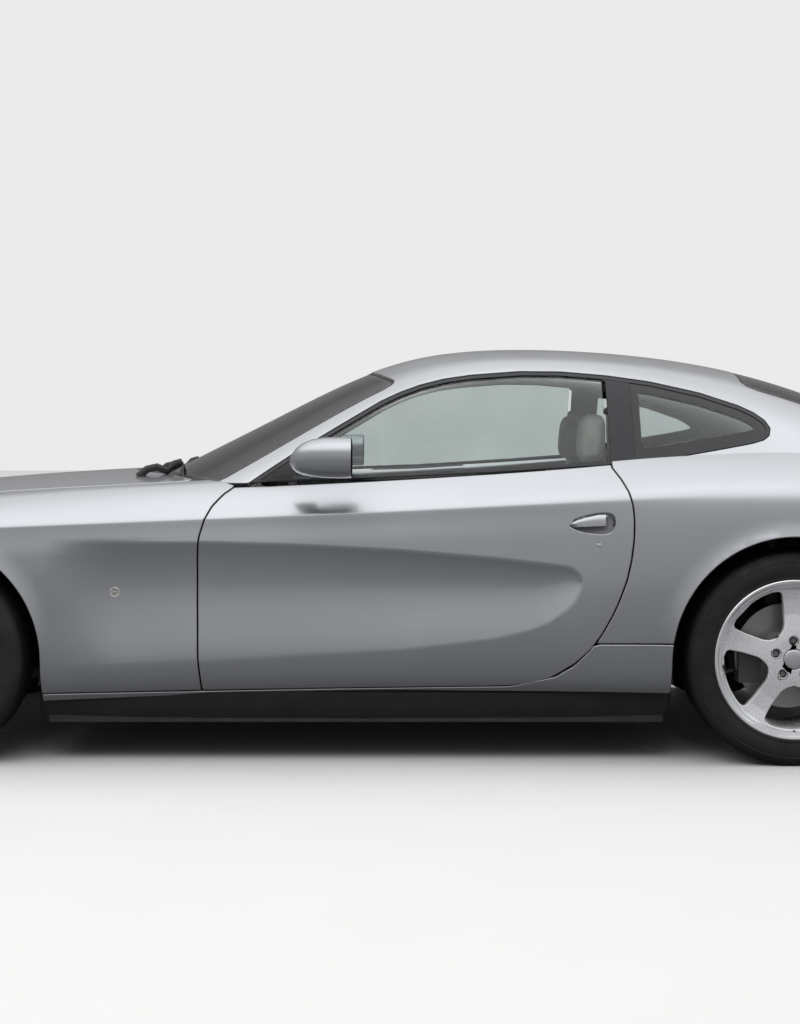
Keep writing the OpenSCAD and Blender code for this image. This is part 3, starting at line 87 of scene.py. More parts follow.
# Height of each row from the lower edge to the middle of the hood: station, height
ROW_Z = [
    [(0, 190), (3, 192), (5, 198), (7, 208), (9, 230), (11, 243), (13, 243), (15, 238), (17, 228), (22, 215)],
    [(0, 222), (3, 228), (5, 240), (7, 252), (9, 268), (11, 280), (13, 280), (15, 275), (17, 262), (22, 250)],
    [(0, 300), (3, 305), (5, 315), (7, 322), (9, 345), (11, 378), (13, 392), (15, 385), (17, 365), (22, 345)],
    [(0, 395), (3, 405), (5, 432), (7, 460), (9, 475), (13, 490), (15, 492), (17, 480), (22, 465)],
    [(0, 492), (3, 505), (5, 560), (7, 600), (9, 605), (13, 585), (15, 600), (17, 605), (22, 590)],
    [(0, 578), (2, 590), (4, 655), (5, 695), (6, 728), (7, 742), (9, 741), (11, 716), (13, 680), (14, 692),
     (16, 735), (18, 735), (20, 715), (22, 708)],
    [(0, 636), (2, 650), (4, 718), (5, 750), (6, 772), (7, 788), (9, 808), (11, 832), (13, 868), (14, 886),
     (15, 893), (16, 892), (17, 880), (18, 858), (20, 826), (22, 818)],
    [(0, 655), (2, 670), (4, 742), (5, 776), (6, 798), (7, 812), (9, 828), (11, 852), (13, 890), (14, 916),
     (15, 934), (16, 940), (17, 926), (18, 900), (20, 868), (22, 862)],
    [(0, 688), (2, 704), (4, 780), (5, 826), (6, 862), (7, 888), (8, 910), (9, 926), (10, 933), (11, 943),
     (12, 957), (13, 976), (14, 1005), (15, 1032), (16, 1040), (17, 1020), (18, 982), (20, 930), (22, 920)],
    [(0, 718), (2, 740), (3, 776), (4, 820), (5, 862), (6, 893), (7, 914), (8, 930), (9, 942), (10, 965),
     (12, 1034), (14, 1090), (16, 1075), (17, 1035), (18, 1004), (20, 964), (22, 950)],
    [(0, 740), (2, 770), (3, 804), (4, 847), (5, 888), (6, 921), (7, 943), (8, 960), (9, 975), (12, 1050),
     (16, 1062), (17, 1046), (18, 1020), (20, 978), (22, 958)],
    [(0, 752), (2, 784), (3, 819), (4, 861), (5, 901), (6, 932), (7, 955), (8, 972), (9, 985), (12, 1055),
     (16, 1066), (17, 1050), (18, 1026), (20, 984), (22, 962)]]
# How far each of the lower rows lies inside the widest line
ROW_IN = [
    [(0, 95), (3, 80), (5, 58), (7, 56), (15, 58), (18, 70), (22, 90)],
    [(0, 50), (3, 42), (5, 30), (7, 26), (15, 28), (18, 36), (22, 48)],
    [(0, 14), (3, 10), (5, 7), (7, 4), (13, 4), (18, 10), (22, 14)],
    [(0, 0), (22, 0)],
    [(0, 0), (4, 0), (7, 0), (22, 2)],
    [(0, 9), (4, 8), (7, 6), (13, 6), (18, 10), (22, 14)],
    [(0, 22), (2, 24), (4, 20), (6, 17), (9, 19), (13, 21), (16, 26), (18, 26), (22, 24)],
    [(0, 30), (2, 33), (4, 31), (6, 29), (9, 31), (13, 34), (15, 50), (16, 56), (18, 46), (22, 34)],
    [(0, 44), (2, 52), (4, 70), (5, 92), (6, 108), (7, 113), (9, 115), (11, 116), (12, 122), (13, 134),
     (14, 156), (15, 186), (16, 205), (17, 192), (18, 150), (20, 82), (22, 58)]]
# Half widths of the three rows over the hood and the boot deck
DECK_Y = [
    [(0, 0), (1, 205), (2, 400), (3, 560), (4, 640), (5, 668), (8, 668), (10, 680), (12, 700), (15, 650),
     (17, 640), (18, 600), (19, 520), (20, 375), (21, 190), (22, 0)],
    [(0, 0), (1, 112), (2, 215), (3, 305), (4, 348), (5, 358), (17, 350), (18, 330), (19, 285), (20, 205),
     (21, 104), (22, 0)],
    [(0, 0), (22, 0)]]
DECK_SHARE = (0.3, 0.75, 0.93, 1)
TOP = len(ROW_Z) - 1
FIRST_DECK = TOP - 2
FRONT_X, REAR_X = 1475, -1425
WHEEL_R = {"front": 350, "rear": 353}
ARCH_R = 408

# Greenhouse sections every 240 mm from x = 820 backwards: outer and inner edge of the rail, crown
DOME_X = [820 - 240 * k for k in range(14)]
RAIL_OUT = [(805, 735), (782, 868), (777, 968), (697, 1122), (628, 1253), (603, 1307), (598, 1319),
            (604, 1302), (618, 1262), (634, 1200), (645, 1132), (645, 1060), (640, 985), (630, 900)]
RAIL_IN = [(795, 765), (738, 900), (674, 1036), (608, 1177), (552, 1300), (538, 1351), (532, 1360),
           (528, 1349), (520, 1320), (515, 1270), (512, 1196), (508, 1108), (500, 1008), (490, 905)]
CROWN_Z = [936, 1055, 1174, 1297, 1387, 1418, 1421, 1410, 1387, 1347, 1281, 1184, 1062, 935]
# The belt lies this far inside the lower sheet, and drops by a share of the way ahead of the cowl
BELT_TUCK, COWL_X, COWL_DROP = 7, 480, 0.62
GLASS_BULGE = 9
# Where the row between rail and crown lies: share of the half width, share of the rise
CROWN_SHARE = (0.55, 0.26)
SECTIONS = len(DOME_X)

# Upper and lower edge of the hollow along the side, and how it fades out over the front arch
HOLLOW_TOP = [(-720, 606), (-715, 632), (-700, 648), (-686, 657), (-616, 667), (-448, 686), (-121, 713),
              (250, 732), (547, 741), (1027, 746)]
HOLLOW_LOW = [(-720, 606), (-716, 581), (-700, 548), (-676, 521), (-616, 478), (-547, 449), (-418, 419),
              (-121, 383), (538, 344), (1017, 324)]
HOLLOW_DEPTH, HOLLOW_FULL = 30, 320
HOLLOW_END = -720
HOLLOW_FADE = (820, 1060)
# The highest value of t (1 - t^3), so that the depth is reached in full
HOLLOW_PEAK = 0.4725
# The lip that stands out round each arch, and how far it reaches
LIP_OUT, LIP_BAND = 9, 60
# The crease along the shoulder: its line, and how strong it is from the tail to the nose
SHOULDER = [(-1200, 896), (-620, 867), (-22, 840), (575, 817), (1172, 792), (1700, 772)]
SHOULDER_FADE = [(-1150, 0), (-620, 0.45), (200, 1), (1350, 1), (1700, 0)]
RIDGE_OUT, RIDGE_IN, RIDGE_ABOVE, RIDGE_BELOW = 3.5, 3.5, 90, 100
# One over the highest value of t (1 - t)^2
RIDGE_PEAK = 6.75


def lookup(x, table):
    t = np.asarray(table, float)
    return np.interp(x, t[:, 0], t[:, 1])


def flip(p):
    """The same point on the other side."""
    return np.array((p[0], -p[1], p[2]))


def station(i):
    """A station, run on past the middle of nose and tail."""
    if i < 0:
        return flip(STATIONS[-i])
    return flip(STATIONS[2 * LAST - i]) if i > LAST else STATIONS[i]


def guide(i, j):
    """The guide point of the lower sheet at station i and row j."""
    if j < 0:
        return 2 * guide(i, 0) - guide(i, 1)
    if j > TOP:
        return flip(guide(i, 2 * TOP - j))
    if i < 0:
        return flip(guide(-i, j))
    if i > LAST:
        return flip(guide(2 * LAST - i, j))
    x, y, spine = STATIONS[i]
    z = lookup(i, ROW_Z[j])
    if j >= FIRST_DECK:
        return np.array((x + (spine - x) * DECK_SHARE[j - FIRST_DECK + 1], lookup(i, DECK_Y[j - FIRST_DECK]), z))
    along = station(i + 1) - station(i - 1)
    out = np.array((along[1], -along[0])) / math.hypot(along[0], along[1])
    px, py = np.array((x, y)) - lookup(i, ROW_IN[j]) * out
    share = DECK_SHARE[0] if j == FIRST_DECK - 1 else 0
    return np.array((px + share * (min(0, spine - x) if x > 0 else max(0, spine - x)), py, z))


def spline_weights(t):
    return np.stack([(1 - t)**3, 3 * t**3 - 6 * t**2 + 4, -3 * t**3 + 3 * t**2 + 3 * t + 1, t**3], -1) / 6


def on_net(net, u, v):
    """Points of a uniform cubic spline sheet; its net has one extra row on every side."""
    i = np.clip(np.floor(u).astype(int), 0, net.shape[0] - 4)
    j = np.clip(np.floor(v).astype(int), 0, net.shape[1] - 4)
    a, b = spline_weights(u - i), spline_weights(v - j)
    return sum((a[:, m] * b[:, n])[:, None] * net[i + m, j + n] for m in range(4) for n in range(4))


BODY_NET = np.array([[guide(i, j) for j in range(-1, TOP + 2)] for i in range(-1, LAST + 2)])


def hollow(x, z):
    """How deep the long hollow of the side is."""
    low, top = lookup(x, HOLLOW_LOW), lookup(x, HOLLOW_TOP)
    t = np.clip((z - low) / np.maximum(1, top - low), 0, 1)
    depth = HOLLOW_DEPTH * np.minimum(1, (top - low) / HOLLOW_FULL) * np.interp(x, HOLLOW_FADE, (1, 0))
    return np.where(x < HOLLOW_END, 0, depth * t * (1 - t**3) / HOLLOW_PEAK)


def axle_distance(x, z):
    return np.minimum(np.hypot(x - FRONT_X, z - WHEEL_R["front"]), np.hypot(x - REAR_X, z - WHEEL_R["rear"]))


def lip(x, z):
    """How far the edge of a wheel arch stands out."""
    t = np.clip((axle_distance(x, z) - ARCH_R) / LIP_BAND, 0, 1)
    return LIP_OUT * (1 - t)**2


def ridge(x, z):
    """How far the shoulder crease stands out: a soft rise above it and a quick fall below."""
    up = z - lookup(x, SHOULDER)
    above = np.clip(1 - up / RIDGE_ABOVE, 0, 1)**2
    t = np.clip(-up / RIDGE_BELOW, 0, 1)
    below = (RIDGE_OUT - RIDGE_PEAK * RIDGE_IN * t) * (1 - t)**2
    return lookup(x, SHOULDER_FADE) * np.where(up > 0, RIDGE_OUT * above, below)


def body_sheet(s, v):
    """The lower sheet: station s (below 0 and above LAST run on round the other side), row v."""
    s, v = np.broadcast_arrays(np.asarray(s, float), np.asarray(v, float))
    side = np.where(s < 0, -1.0, 1.0)
    s = np.abs(s)
    side = np.where(s > LAST, -side, side)
    s = np.where(s > LAST, 2 * LAST - s, s)
    side = np.where(v > TOP, -side, side)
    v = np.where(v > TOP, 2 * TOP - v, v)
    p = on_net(BODY_NET, s, v)
    x, z = p[:, 0], p[:, 2]
    p[:, 1] = side * (p[:, 1] + lip(x, z) + ridge(x, z) - hollow(x, z))
    return p


def station_at(x):
    return np.interp(-np.asarray(x, float), -STATIONS[4:LAST - 3, 0], np.arange(4, LAST - 3))


def dome_guide(k, j):
    """The guide point of the greenhouse at section k and row j."""
    if k < 0 or k >= SECTIONS:
        e, f = (0, 1) if k < 0 else (SECTIONS - 1, SECTIONS - 2)
        return 2 * dome_guide(e, j) - dome_guide(f, j)
    if j < 0:
        return 2 * dome_guide(k, 0) - dome_guide(k, 1)
    if j > 6:
        return flip(dome_guide(k, 12 - j))
    x = DOME_X[k]
    b = on_net(BODY_NET, station_at([x]), np.array([FIRST_DECK - 1.0]))[0]
    belt = np.array((x, b[1] - BELT_TUCK, b[2] - BELT_TUCK - max(0, x - COWL_X) * COWL_DROP))
    o, n, c = np.array((x, *RAIL_OUT[k])), np.array((x, *RAIL_IN[k])), np.array((x, 0, CROWN_Z[k]))
    if j in (0, 3, 4, 6):
        return {0: belt, 3: o, 4: n, 6: c}[j]
    if j == 5:
        return np.array((x, n[1] * CROWN_SHARE[0], c[2] - (c[2] - n[2]) * CROWN_SHARE[1]))
    return belt + (o - belt) * j / 3 + np.array((0, GLASS_BULGE, 0))


DOME_NET = np.array([[dome_guide(k, j) for j in range(-1, 8)] for k in range(-1, SECTIONS + 1)])


def dome_sheet(s, v):
    """The greenhouse: section s from the front; v is 0 at the left belt, 6 at the crown, 12 at the right belt."""
    s, v = np.broadcast_arrays(np.asarray(s, float), np.asarray(v, float))
    side = np.where(v > 6, -1.0, 1.0)
    p = on_net(DOME_NET, s, np.where(v > 6, 12 - v, v))
    p[:, 1] *= side
    return p


def unit(v):
    return v / np.maximum(np.linalg.norm(v, axis=-1, keepdims=True), 1e-9)


def sheet_normal(sheet, s, v, hs=0.02, hv=0.06):
    return unit(np.cross(sheet(s + hs, v) - sheet(s - hs, v), sheet(s, v + hv) - sheet(s, v - hv)))


# ---- Outlines of the panels: distances in millimetres, below 0 inside ----

DOOR = [(300, 1200), (419, 930), (470, 893), (504, 855), (524, 815), (541, 760), (545, 733), (548, 683),
        (548, 551), (545, 353), (535, 246), (-121, 256), (-400, 261), (-485, 264), (-560, 274), (-625, 296),
        (-699, 343), (-747, 388), (-782, 436), (-818, 500), (-841, 551), (-866, 618), (-881, 683), (-890, 750),
        (-892, 815), (-888, 860), (-876, 907), (-858, 945), (-832, 985), (-832, 1200)]
WINDOWS = [(402, 926), (330, 976), (219, 1050), (84, 1132), (-52, 1213), (-120, 1245), (-191, 1271),
           (-275, 1292), (-365, 1305), (-539, 1318), (-679, 1317), (-842, 1303), (-990, 1282), (-1161, 1243),
           (-1294, 1198), (-1345, 1173), (-1380, 1145), (-1394, 1118), (-1386, 1093), (-1366, 1077),
           (-1320, 1064), (-1244, 1050), (-1071, 1020), (-821, 988), (-594, 971), (-189, 946), (216, 933)]
WINDSCREEN = [(748, 0), (739, 140), (712, 290), (664, 440), (597, 590), (545, 680), (506, 718), (470, 716),
              (-60, 566), (-98, 540), (-98, 500), (-60, 380), (-22, 200), (-8, 0)]
REAR_WINDOW = [(-1352, 0), (-1350, 250), (-1340, 440), (-1352, 484), (-1385, 502), (-1700, 516), (-1960, 512),
               (-2020, 496), (-2048, 450), (-2080, 300), (-2100, 0)]
HOOD = [(2292, 0), (2285, 150), (2262, 300), (2215, 430), (2140, 530), (2040, 590), (1850, 640), (1600, 668),
        (1300, 682), (900, 694), (640, 690), (606, 678), (598, 655), (628, 600), (706, 480), (800, 330),
        (860, 170), (881, 0)]
BOOT = [(-2150, 0), (-2148, 300), (-2142, 480), (-2152, 540), (-2190, 560), (-2600, 560), (-2600, 0)]
HEADLAMP = [(2268, 470), (2290, 560), (2272, 640), (2210, 720), (2090, 800), (1960, 846), (1860, 860),
            (1905, 806), (2010, 725), (2110, 640), (2190, 560), (2235, 490)]
FRONT_SPLIT = [(1862, 0), (1864, 560), (1905, 625), (1985, 668), (2110, 690), (2240, 706), (2280, 725),
               (2300, 900), (2700, 900), (2700, 0)]
REAR_SPLIT = [(-1812, 0), (-1812, 560), (-1850, 640), (-1950, 676), (-2080, 690), (-2700, 700), (-2700, 0)]
SILL = [(1200, 0), (1200, 229), (535, 238), (-121, 249), (-485, 256), (-640, 292), (-700, 331), (-755, 388),
        (-764, 402), (-1200, 404), (-1200, 0)]
# Rear edge of the door glass and front edge of the quarter window
SPLIT_X = (-826, -917)
# The doorway under the side windows
BELT = [(600, 0), (600, 930), (402, 930), (216, 937), (-121, 952), (-450, 968), (-700, 984), (-826, 992),
        (-860, 1000), (-880, 930), (-892, 800), (-892, 0)]
# Lower ends of the boot lid and of the headlamps
BOOT_LOW = 700
LAMP_LOW = 600
# Front opening: width, height, corner radius
MOUTH = ((-430, 430), (315, 520), 70)
# Towing eye hole: y, z, radius; exhaust tips: y of each, z, radius of their notch
TOW = (480, 440, 26)
TIPS = ((425, 530), 262, 51)
TAIL_LAMPS = ((628, 772), (762, 780))
TAIL_R = 57


def both(points):
    """A plan outline from its left half."""
    return list(points) + [(x, -y) for x, y in reversed(points)]


def outline(points, axes=(0, 2)):
    """Distance to a closed outline in the plane of two axes."""
    q = np.array(points, float)
    r = np.roll(q, -1, axis=0)

    def field(p):
        a = p[:, axes][:, None, :]
        e = r - q
        t = np.clip(((a - q) * e).sum(-1) / np.maximum((e * e).sum(-1), 1e-9), 0, 1)
        d = np.sqrt((((a - q) - t[..., None] * e)**2).sum(-1).min(1))
        up = (q[:, 1] > a[..., 1]) != (r[:, 1] > a[..., 1])
        with np.errstate(divide="ignore", invalid="ignore"):
            cross = a[..., 0] < (r[:, 0] - q[:, 0]) * (a[..., 1] - q[:, 1]) / (r[:, 1] - q[:, 1]) + q[:, 0]
        return np.where((up & cross).sum(1) % 2 == 1, -d, d)
    return field


def rounded_box(box_y, box_z, r):
    """Distance to a box with round corners, seen from the front."""
    def field(p):
        dy = np.abs(p[:, 1] - sum(box_y) / 2) - (box_y[1] - box_y[0]) / 2 + r
        dz = np.abs(p[:, 2] - sum(box_z) / 2) - (box_z[1] - box_z[0]) / 2 + r
        return np.hypot(np.maximum(dy, 0), np.maximum(dz, 0)) + np.minimum(np.maximum(dy, dz), 0) - r
    return field


door_line = outline(DOOR)
window_line = outline(WINDOWS)
screen_line = outline(both(WINDSCREEN), (0, 1))
back_line = outline(both(REAR_WINDOW), (0, 1))
hood_line = outline(both(HOOD), (0, 1))
boot_line = outline(both(BOOT), (0, 1))
front_line = outline(FRONT_SPLIT)
rear_line = outline(REAR_SPLIT)
sill_line = outline(SILL)
belt_line = outline(BELT)
mouth_line = rounded_box(*MOUTH)
lamp_plan = outline(HEADLAMP, (0, 1))


def lamp_line(p):
    """Below 0 inside a headlamp, on either side."""
    q = p.copy()
    q[:, 1] = np.abs(q[:, 1])
    return lamp_plan(q)


def arch_line(p):
    """Below 0 inside a wheel arch, down to the ground."""
    return np.minimum(*(np.hypot(p[:, 0] - x0, np.maximum(p[:, 2] - z0, 0)) - ARCH_R
                        for x0, z0 in ((FRONT_X, WHEEL_R["front"]), (REAR_X, WHEEL_R["rear"]))))


def lamp_holes(p):
    """Below 0 inside a tail lamp."""
    q = np.abs(p[:, 1])
    return np.minimum(*(np.hypot(q - y, p[:, 2] - z) for y, z in TAIL_LAMPS)) - TAIL_R


def hole_line(y0, z0, r):
    return lambda p: np.hypot(p[:, 1] - y0, p[:, 2] - z0) - r


def tip_line(p):
    """Below 0 in the notch round each pair of exhaust tips, open downwards."""
    (y0, y1), z0, r = TIPS
    dy = np.maximum(np.maximum(y0 - np.abs(p[:, 1]), np.abs(p[:, 1]) - y1), 0)
    return np.hypot(dy, np.maximum(p[:, 2] - z0, 0)) - r


# Radius of the rolled edge; how far a panel grows past its outline, and how far its neighbour keeps off
ROLL = 3.0
EDGE_OUT, EDGE_IN = 1.8, 6.2
# Share of the steps asked for that a patch is laid out with
DETAIL = 0.74


def inside(line, edge=EDGE_OUT):
    """Keeps what is inside a line grown by edge, less the rolled edge."""
    return lambda p: line(p) - edge + ROLL


def outside(line, edge=EDGE_IN):
    """Keeps what is edge outside a line, less the rolled edge."""
    return lambda p: edge + ROLL - line(p)


def past(axis, place):
    """Keeps what lies beyond a place along an axis."""
    return lambda p: place - p[:, axis]


def above(line, z):
    """A line that holds only above a height."""
    return lambda p: np.maximum(line(p), z - p[:, 2])


def off_arch(p):
    return ROLL - arch_line(p)


# ---- Cutting a sheet to a panel ----


class Patch:
    """Triangles in the (s, v) plane of a sheet, which the panels' outlines cut."""

    def __init__(self, sheet, s, v, step):
        ns, nv = (max(2, math.ceil((b - a) * k * DETAIL)) for (a, b), k in ((s, step[0]), (v, step[1])))
        self.sheet = sheet
        g = np.meshgrid(np.linspace(*s, ns + 1), np.linspace(*v, nv + 1), indexing="ij")
        self.p = np.stack([x.ravel() for x in g], 1)
        a = (np.arange(ns)[:, None] * (nv + 1) + np.arange(nv)).ravel()
        b, c, d = a + nv + 1, a + nv + 2, a + 1
        self.t = np.concatenate([np.stack([a, b, c], 1), np.stack([a, c, d], 1)])
        self.held = np.zeros(len(self.p), bool)

    def xyz(self, p=None):
        p = self.p if p is None else p
        return self.sheet(p[:, 0], p[:, 1])

    def normals(self, p=None):
        p = self.p if p is None else p
        return sheet_normal(self.sheet, p[:, 0], p[:, 1])

    def cut(self, line, keep_both=False):
        """Splits the triangles along line = 0, and drops those above it unless keep_both."""
        def value(p):
            return line(self.xyz(p))
        f = value(self.p)
        near = np.where((np.abs(f) < 3.0) & ~self.held)[0]
        for _ in range(2):
            if len(near):
                q, e = self.p[near], np.array((0.01, 0.02))
                g = np.stack([(value(q + e * k) - value(q - e * k)) / (2 * e @ k) for k in np.eye(2)], 1)
                size = (g * g).sum(1)
                move = -f[near][:, None] * g / np.maximum(size, 1e-6)[:, None]
                self.p[near] += np.clip(np.where(size[:, None] > 1, move, 0), -0.05, 0.05)
                f[near] = value(self.p[near])
        f[np.abs(f) < 0.25] = 0
        self.held |= f == 0
        sign = np.sign(f).astype(int)
        st = sign[self.t]
        below, above = (st <= 0).all(1), (st >= 0).all(1) & ~(st <= 0).all(1)
        mixed = self.t[~below & ~above]
        if len(mixed) == 0:
            self.t = self.t if keep_both else self.t[below]
            return self
        e = np.unique(np.sort(edges_of(mixed), 1), axis=0)
        e = e[sign[e[:, 0]] * sign[e[:, 1]] < 0]
        a, b, fa, fb = self.p[e[:, 0]], self.p[e[:, 1]], f[e[:, 0]], f[e[:, 1]]
        for _ in range(4):
            m = a + (b - a) * (fa / (fa - fb))[:, None]
            fm = value(m)
            low = np.sign(fm) == np.sign(fa)
            a, fa = np.where(low[:, None], m, a), np.where(low, fm, fa)
            b, fb = np.where(low[:, None], b, m), np.where(low, fb, fm)
            fa, fb = np.where(fa == 0, 1e-6, fa), np.where(fb == 0, -1e-6 * np.sign(fa), fb)
        base = len(self.p)
        at = {(int(i), int(j)): base + k for k, (i, j) in enumerate(e)}
        self.p = np.concatenate([self.p, m])
        self.held = np.concatenate([self.held, np.ones(len(m), bool)])
        kept, other = [], []
        for tri in mixed:
            lo, hi = [], []
            for k in range(3):
                i, j = int(tri[k]), int(tri[(k + 1) % 3])
                if sign[i] <= 0:
                    lo.append(i)
                if sign[i] >= 0:
                    hi.append(i)
                if sign[i] * sign[j] < 0:
                    n = at[(min(i, j), max(i, j))]
                    lo.append(n)
                    hi.append(n)
            for ring, into in ((lo, kept), (hi, other)):
                into.extend((ring[0], ring[k], ring[k + 1]) for k in range(1, len(ring) - 1))
        parts = [self.t[below], np.array(kept, int).reshape(-1, 3)]
        if keep_both:
            parts += [self.t[above], np.array(other, int).reshape(-1, 3)]
        self.t = np.concatenate(parts)
        return self

    def cuts(self, *lines):
        for line in lines:
            self.cut(line)
        return self

    def tidy(self):
        """Drops points that no triangle uses, and triangles with no area."""
        x = self.xyz()
        area = np.linalg.norm(np.cross(x[self.t[:, 1]] - x[self.t[:, 0]], x[self.t[:, 2]] - x[self.t[:, 0]]), axis=1)
        self.t = self.t[area > 1e-7]
        used, back = np.unique(self.t, return_inverse=True)
        self.p, self.held, self.t = self.p[used], self.held[used], back.reshape(-1, 3)
        return self


def edges_of(t):
    return np.concatenate([t[:, [0, 1]], t[:, [1, 2]], t[:, [2, 0]]])


def border(t):
    """The directed edges that only one triangle uses."""
    e = edges_of(t)
    key = e[:, 0].astype(np.int64) * (t.max() + 1) + e[:, 1]
    back = e[:, 1].astype(np.int64) * (t.max() + 1) + e[:, 0]
    return e[~np.isin(key, back)]


def thick(x, n, t, roll=ROLL, depth=10.0, rings=(30, 60, 90)):
    """A closed panel from an outer skin: its edge rolls over, then drops to depth. Returns points, faces, normals."""
    e = border(t)
    d = unit(np.cross(unit(x[e[:, 1]] - x[e[:, 0]]), n[e[:, 0]]))
    out = np.zeros_like(x)
    np.add.at(out, e[:, 0], d)
    np.add.at(out, e[:, 1], d)
    rim = np.unique(e)
    size = np.linalg.norm(out[rim], axis=1, keepdims=True)
    out[rim] = out[rim] / np.maximum(size, 1e-6) * np.minimum(2 / np.maximum(size, 1e-6), 1.35)
    at = np.full(len(x), -1)
    at[rim] = np.arange(len(rim))
    points, normals, faces = [x], [n], t.tolist()
    o, m = out[rim], n[rim]
    level = [rim]
    total = len(x)
    for a in [math.radians(r) for r in rings] + [None]:
        if a is None:
            points.append(x[rim] + roll * o - depth * m)
            normals.append(unit(o))
        else:
            points.append(x[rim] + roll * math.sin(a) * o - roll * (1 - math.cos(a)) * m)
            normals.append(unit(m * math.cos(a) + unit(o) * math.sin(a)))
        level.append(np.arange(total, total + len(rim)))
        total += len(rim)
    points.append(x - depth * n)
    normals.append(-n)
    level.append(total + rim)
    i, j = at[e[:, 0]], at[e[:, 1]]
    for lo, hi in zip(level[:-1], level[1:]):
        faces += np.stack([lo[j], lo[i], hi[i], hi[j]], 1).tolist()
    faces += (t[:, ::-1] + total).tolist()
    return np.concatenate(points), faces, np.concatenate(normals)


def mirrored(points, faces, normals=None):
    m = np.array((1, -1, 1))
    return points * m, [f[::-1] for f in faces], None if normals is None else normals * m


def make(name, points, faces, mats, body, normals=None, smooth=True, slot=None, replaces=(), face_mats=None):
    """A mesh object from points in millimetres, riding on a body."""
    me = bpy.data.meshes.new(name)
    me.from_pydata((np.asarray(points, float) * MM).tolist(), [], [list(f) for f in faces])
    me.validate(clean_customdata=False)
    me.shade_smooth() if smooth else me.shade_flat()
    if normals is not None and len(me.vertices) == len(normals):
        me.normals_split_custom_set_from_vertices(np.asarray(normals, float).tolist())
    o = bpy.data.objects.new(name, me)
    bpy.context.scene.collection.objects.link(o)
    for m in (mats if isinstance(mats, (list, tuple)) else [mats]):
        me.materials.append(m)
    if face_mats is not None and len(face_mats) == len(me.polygons):
        me.polygons.foreach_set("material_index", face_mats)
    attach(o, body)
    if replaces:
        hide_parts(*replaces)
    return o


HIGH_UP = 3


def tree_of(sheet, s, v, step):
    """A part of a sheet, ready for rays."""
    patch = Patch(sheet, s, v, step).tidy()
    return BVHTree.FromPolygons((patch.xyz() * MM).tolist(), patch.t.tolist())


def drop_on(tree, x, y):
    """The place that a ray from above meets, if it meets any."""
    return tree.ray_cast(Vector((x * MM, y * MM, HIGH_UP)), Vector((0, 0, -1)))[0]


def covered_by(tree, clear=1.0):
    """Above 0 where the tree's surface lies over a point."""
    def field(p):
        out = np.empty(len(p))
        for k, (x, y, z) in enumerate(p):
            hit = drop_on(tree, x, y)
            out[k] = -999 if hit is None else hit.z / MM - z + clear
        return out
    return field


# ---- Materials ----


def ramp_stops(node, stops):
    """Sets a colour ramp's stops of (place, colour)."""
    e = node.color_ramp.elements
    while len(e) < len(stops):
        e.new(0.5)
    for k, (at, color) in enumerate(stops):
        e[k].position, e[k].color = at, (*color, 1)


class Shader:
    """A material with its Principled BSDF and short ways to wire procedural detail into it."""

    def __init__(self, name, color, rough, metallic=0.0, **inputs):
        self.mat = bpy.data.materials.new(name)
        self.mat.use_nodes = True
        self.tree = self.mat.node_tree
        self.bsdf = self.tree.nodes["Principled BSDF"]
        self.set(Base_Color=(*color, 1), Roughness=rough, Metallic=metallic, **inputs)
        self.mat.diffuse_color = (*color, 1)
        self.coord = self.add("ShaderNodeTexCoord").outputs["Object"]

    def set(self, **inputs):
        for k, v in inputs.items():
            self.bsdf.inputs[k.replace("_", " ")].default_value = v
        return self

    def add(self, kind, props=None, **inputs):
        n = self.tree.nodes.new("ShaderNode" + kind if not kind.startswith("ShaderNode") else kind)
        for k, v in (props or {}).items():
            setattr(n, k, v)
        for k, v in inputs.items():
            self.put(v, n.inputs[k.replace("_", " ")] if not k.startswith("i") or not k[1:].isdigit()
                     else n.inputs[int(k[1:])])
        return n

    def put(self, value, socket):
        if isinstance(value, bpy.types.NodeSocket):
            self.tree.links.new(value, socket)
        else:
            socket.default_value = value

    def noise(self, scale, detail=3.0, rough=0.55, coord=None):
        return self.add("TexNoise", Vector=coord or self.coord, Scale=scale, Detail=detail,
                        Roughness=rough).outputs["Fac"]

    def cells(self, scale, out="Color"):
        return self.add("TexVoronoi", Vector=self.coord, Scale=scale).outputs[out]

    def ranged(self, value, lo, hi, from_lo=0.3, from_hi=0.7):
        n = self.add("MapRange", Value=value)
        n.inputs["From Min"].default_value, n.inputs["From Max"].default_value = from_lo, from_hi
        n.inputs["To Min"].default_value, n.inputs["To Max"].default_value = lo, hi
        return n.outputs[0]

    def ramp(self, value, *stops):
        n = self.add("ValToRGB", Fac=value)
        ramp_stops(n, stops)
        return n.outputs["Color"]

    def bump(self, height, strength, distance):
        return self.add("Bump", Height=height, Strength=strength, Distance=distance).outputs["Normal"]

    def mix(self, a, b, factor=1.0, blend="MIX"):
        """Two colours mixed by a factor."""
        n = self.add("Mix", {"data_type": "RGBA", "blend_type": blend}, Factor=factor)
        self.put(a, n.inputs[6])
        self.put(b, n.inputs[7])
        return n.outputs[2]

    def attribute(self, name):
        return self.add("Attribute", {"attribute_name": name}).outputs["Fac"]

    def wire(self, **sockets):
        for k, v in sockets.items():
            self.put(v, self.bsdf.inputs[k.replace("_", " ")])
        return self


def shade(color, k):
    """A colour k times as bright, up to full white."""
    return tuple(min(1, c * k) for c in color)


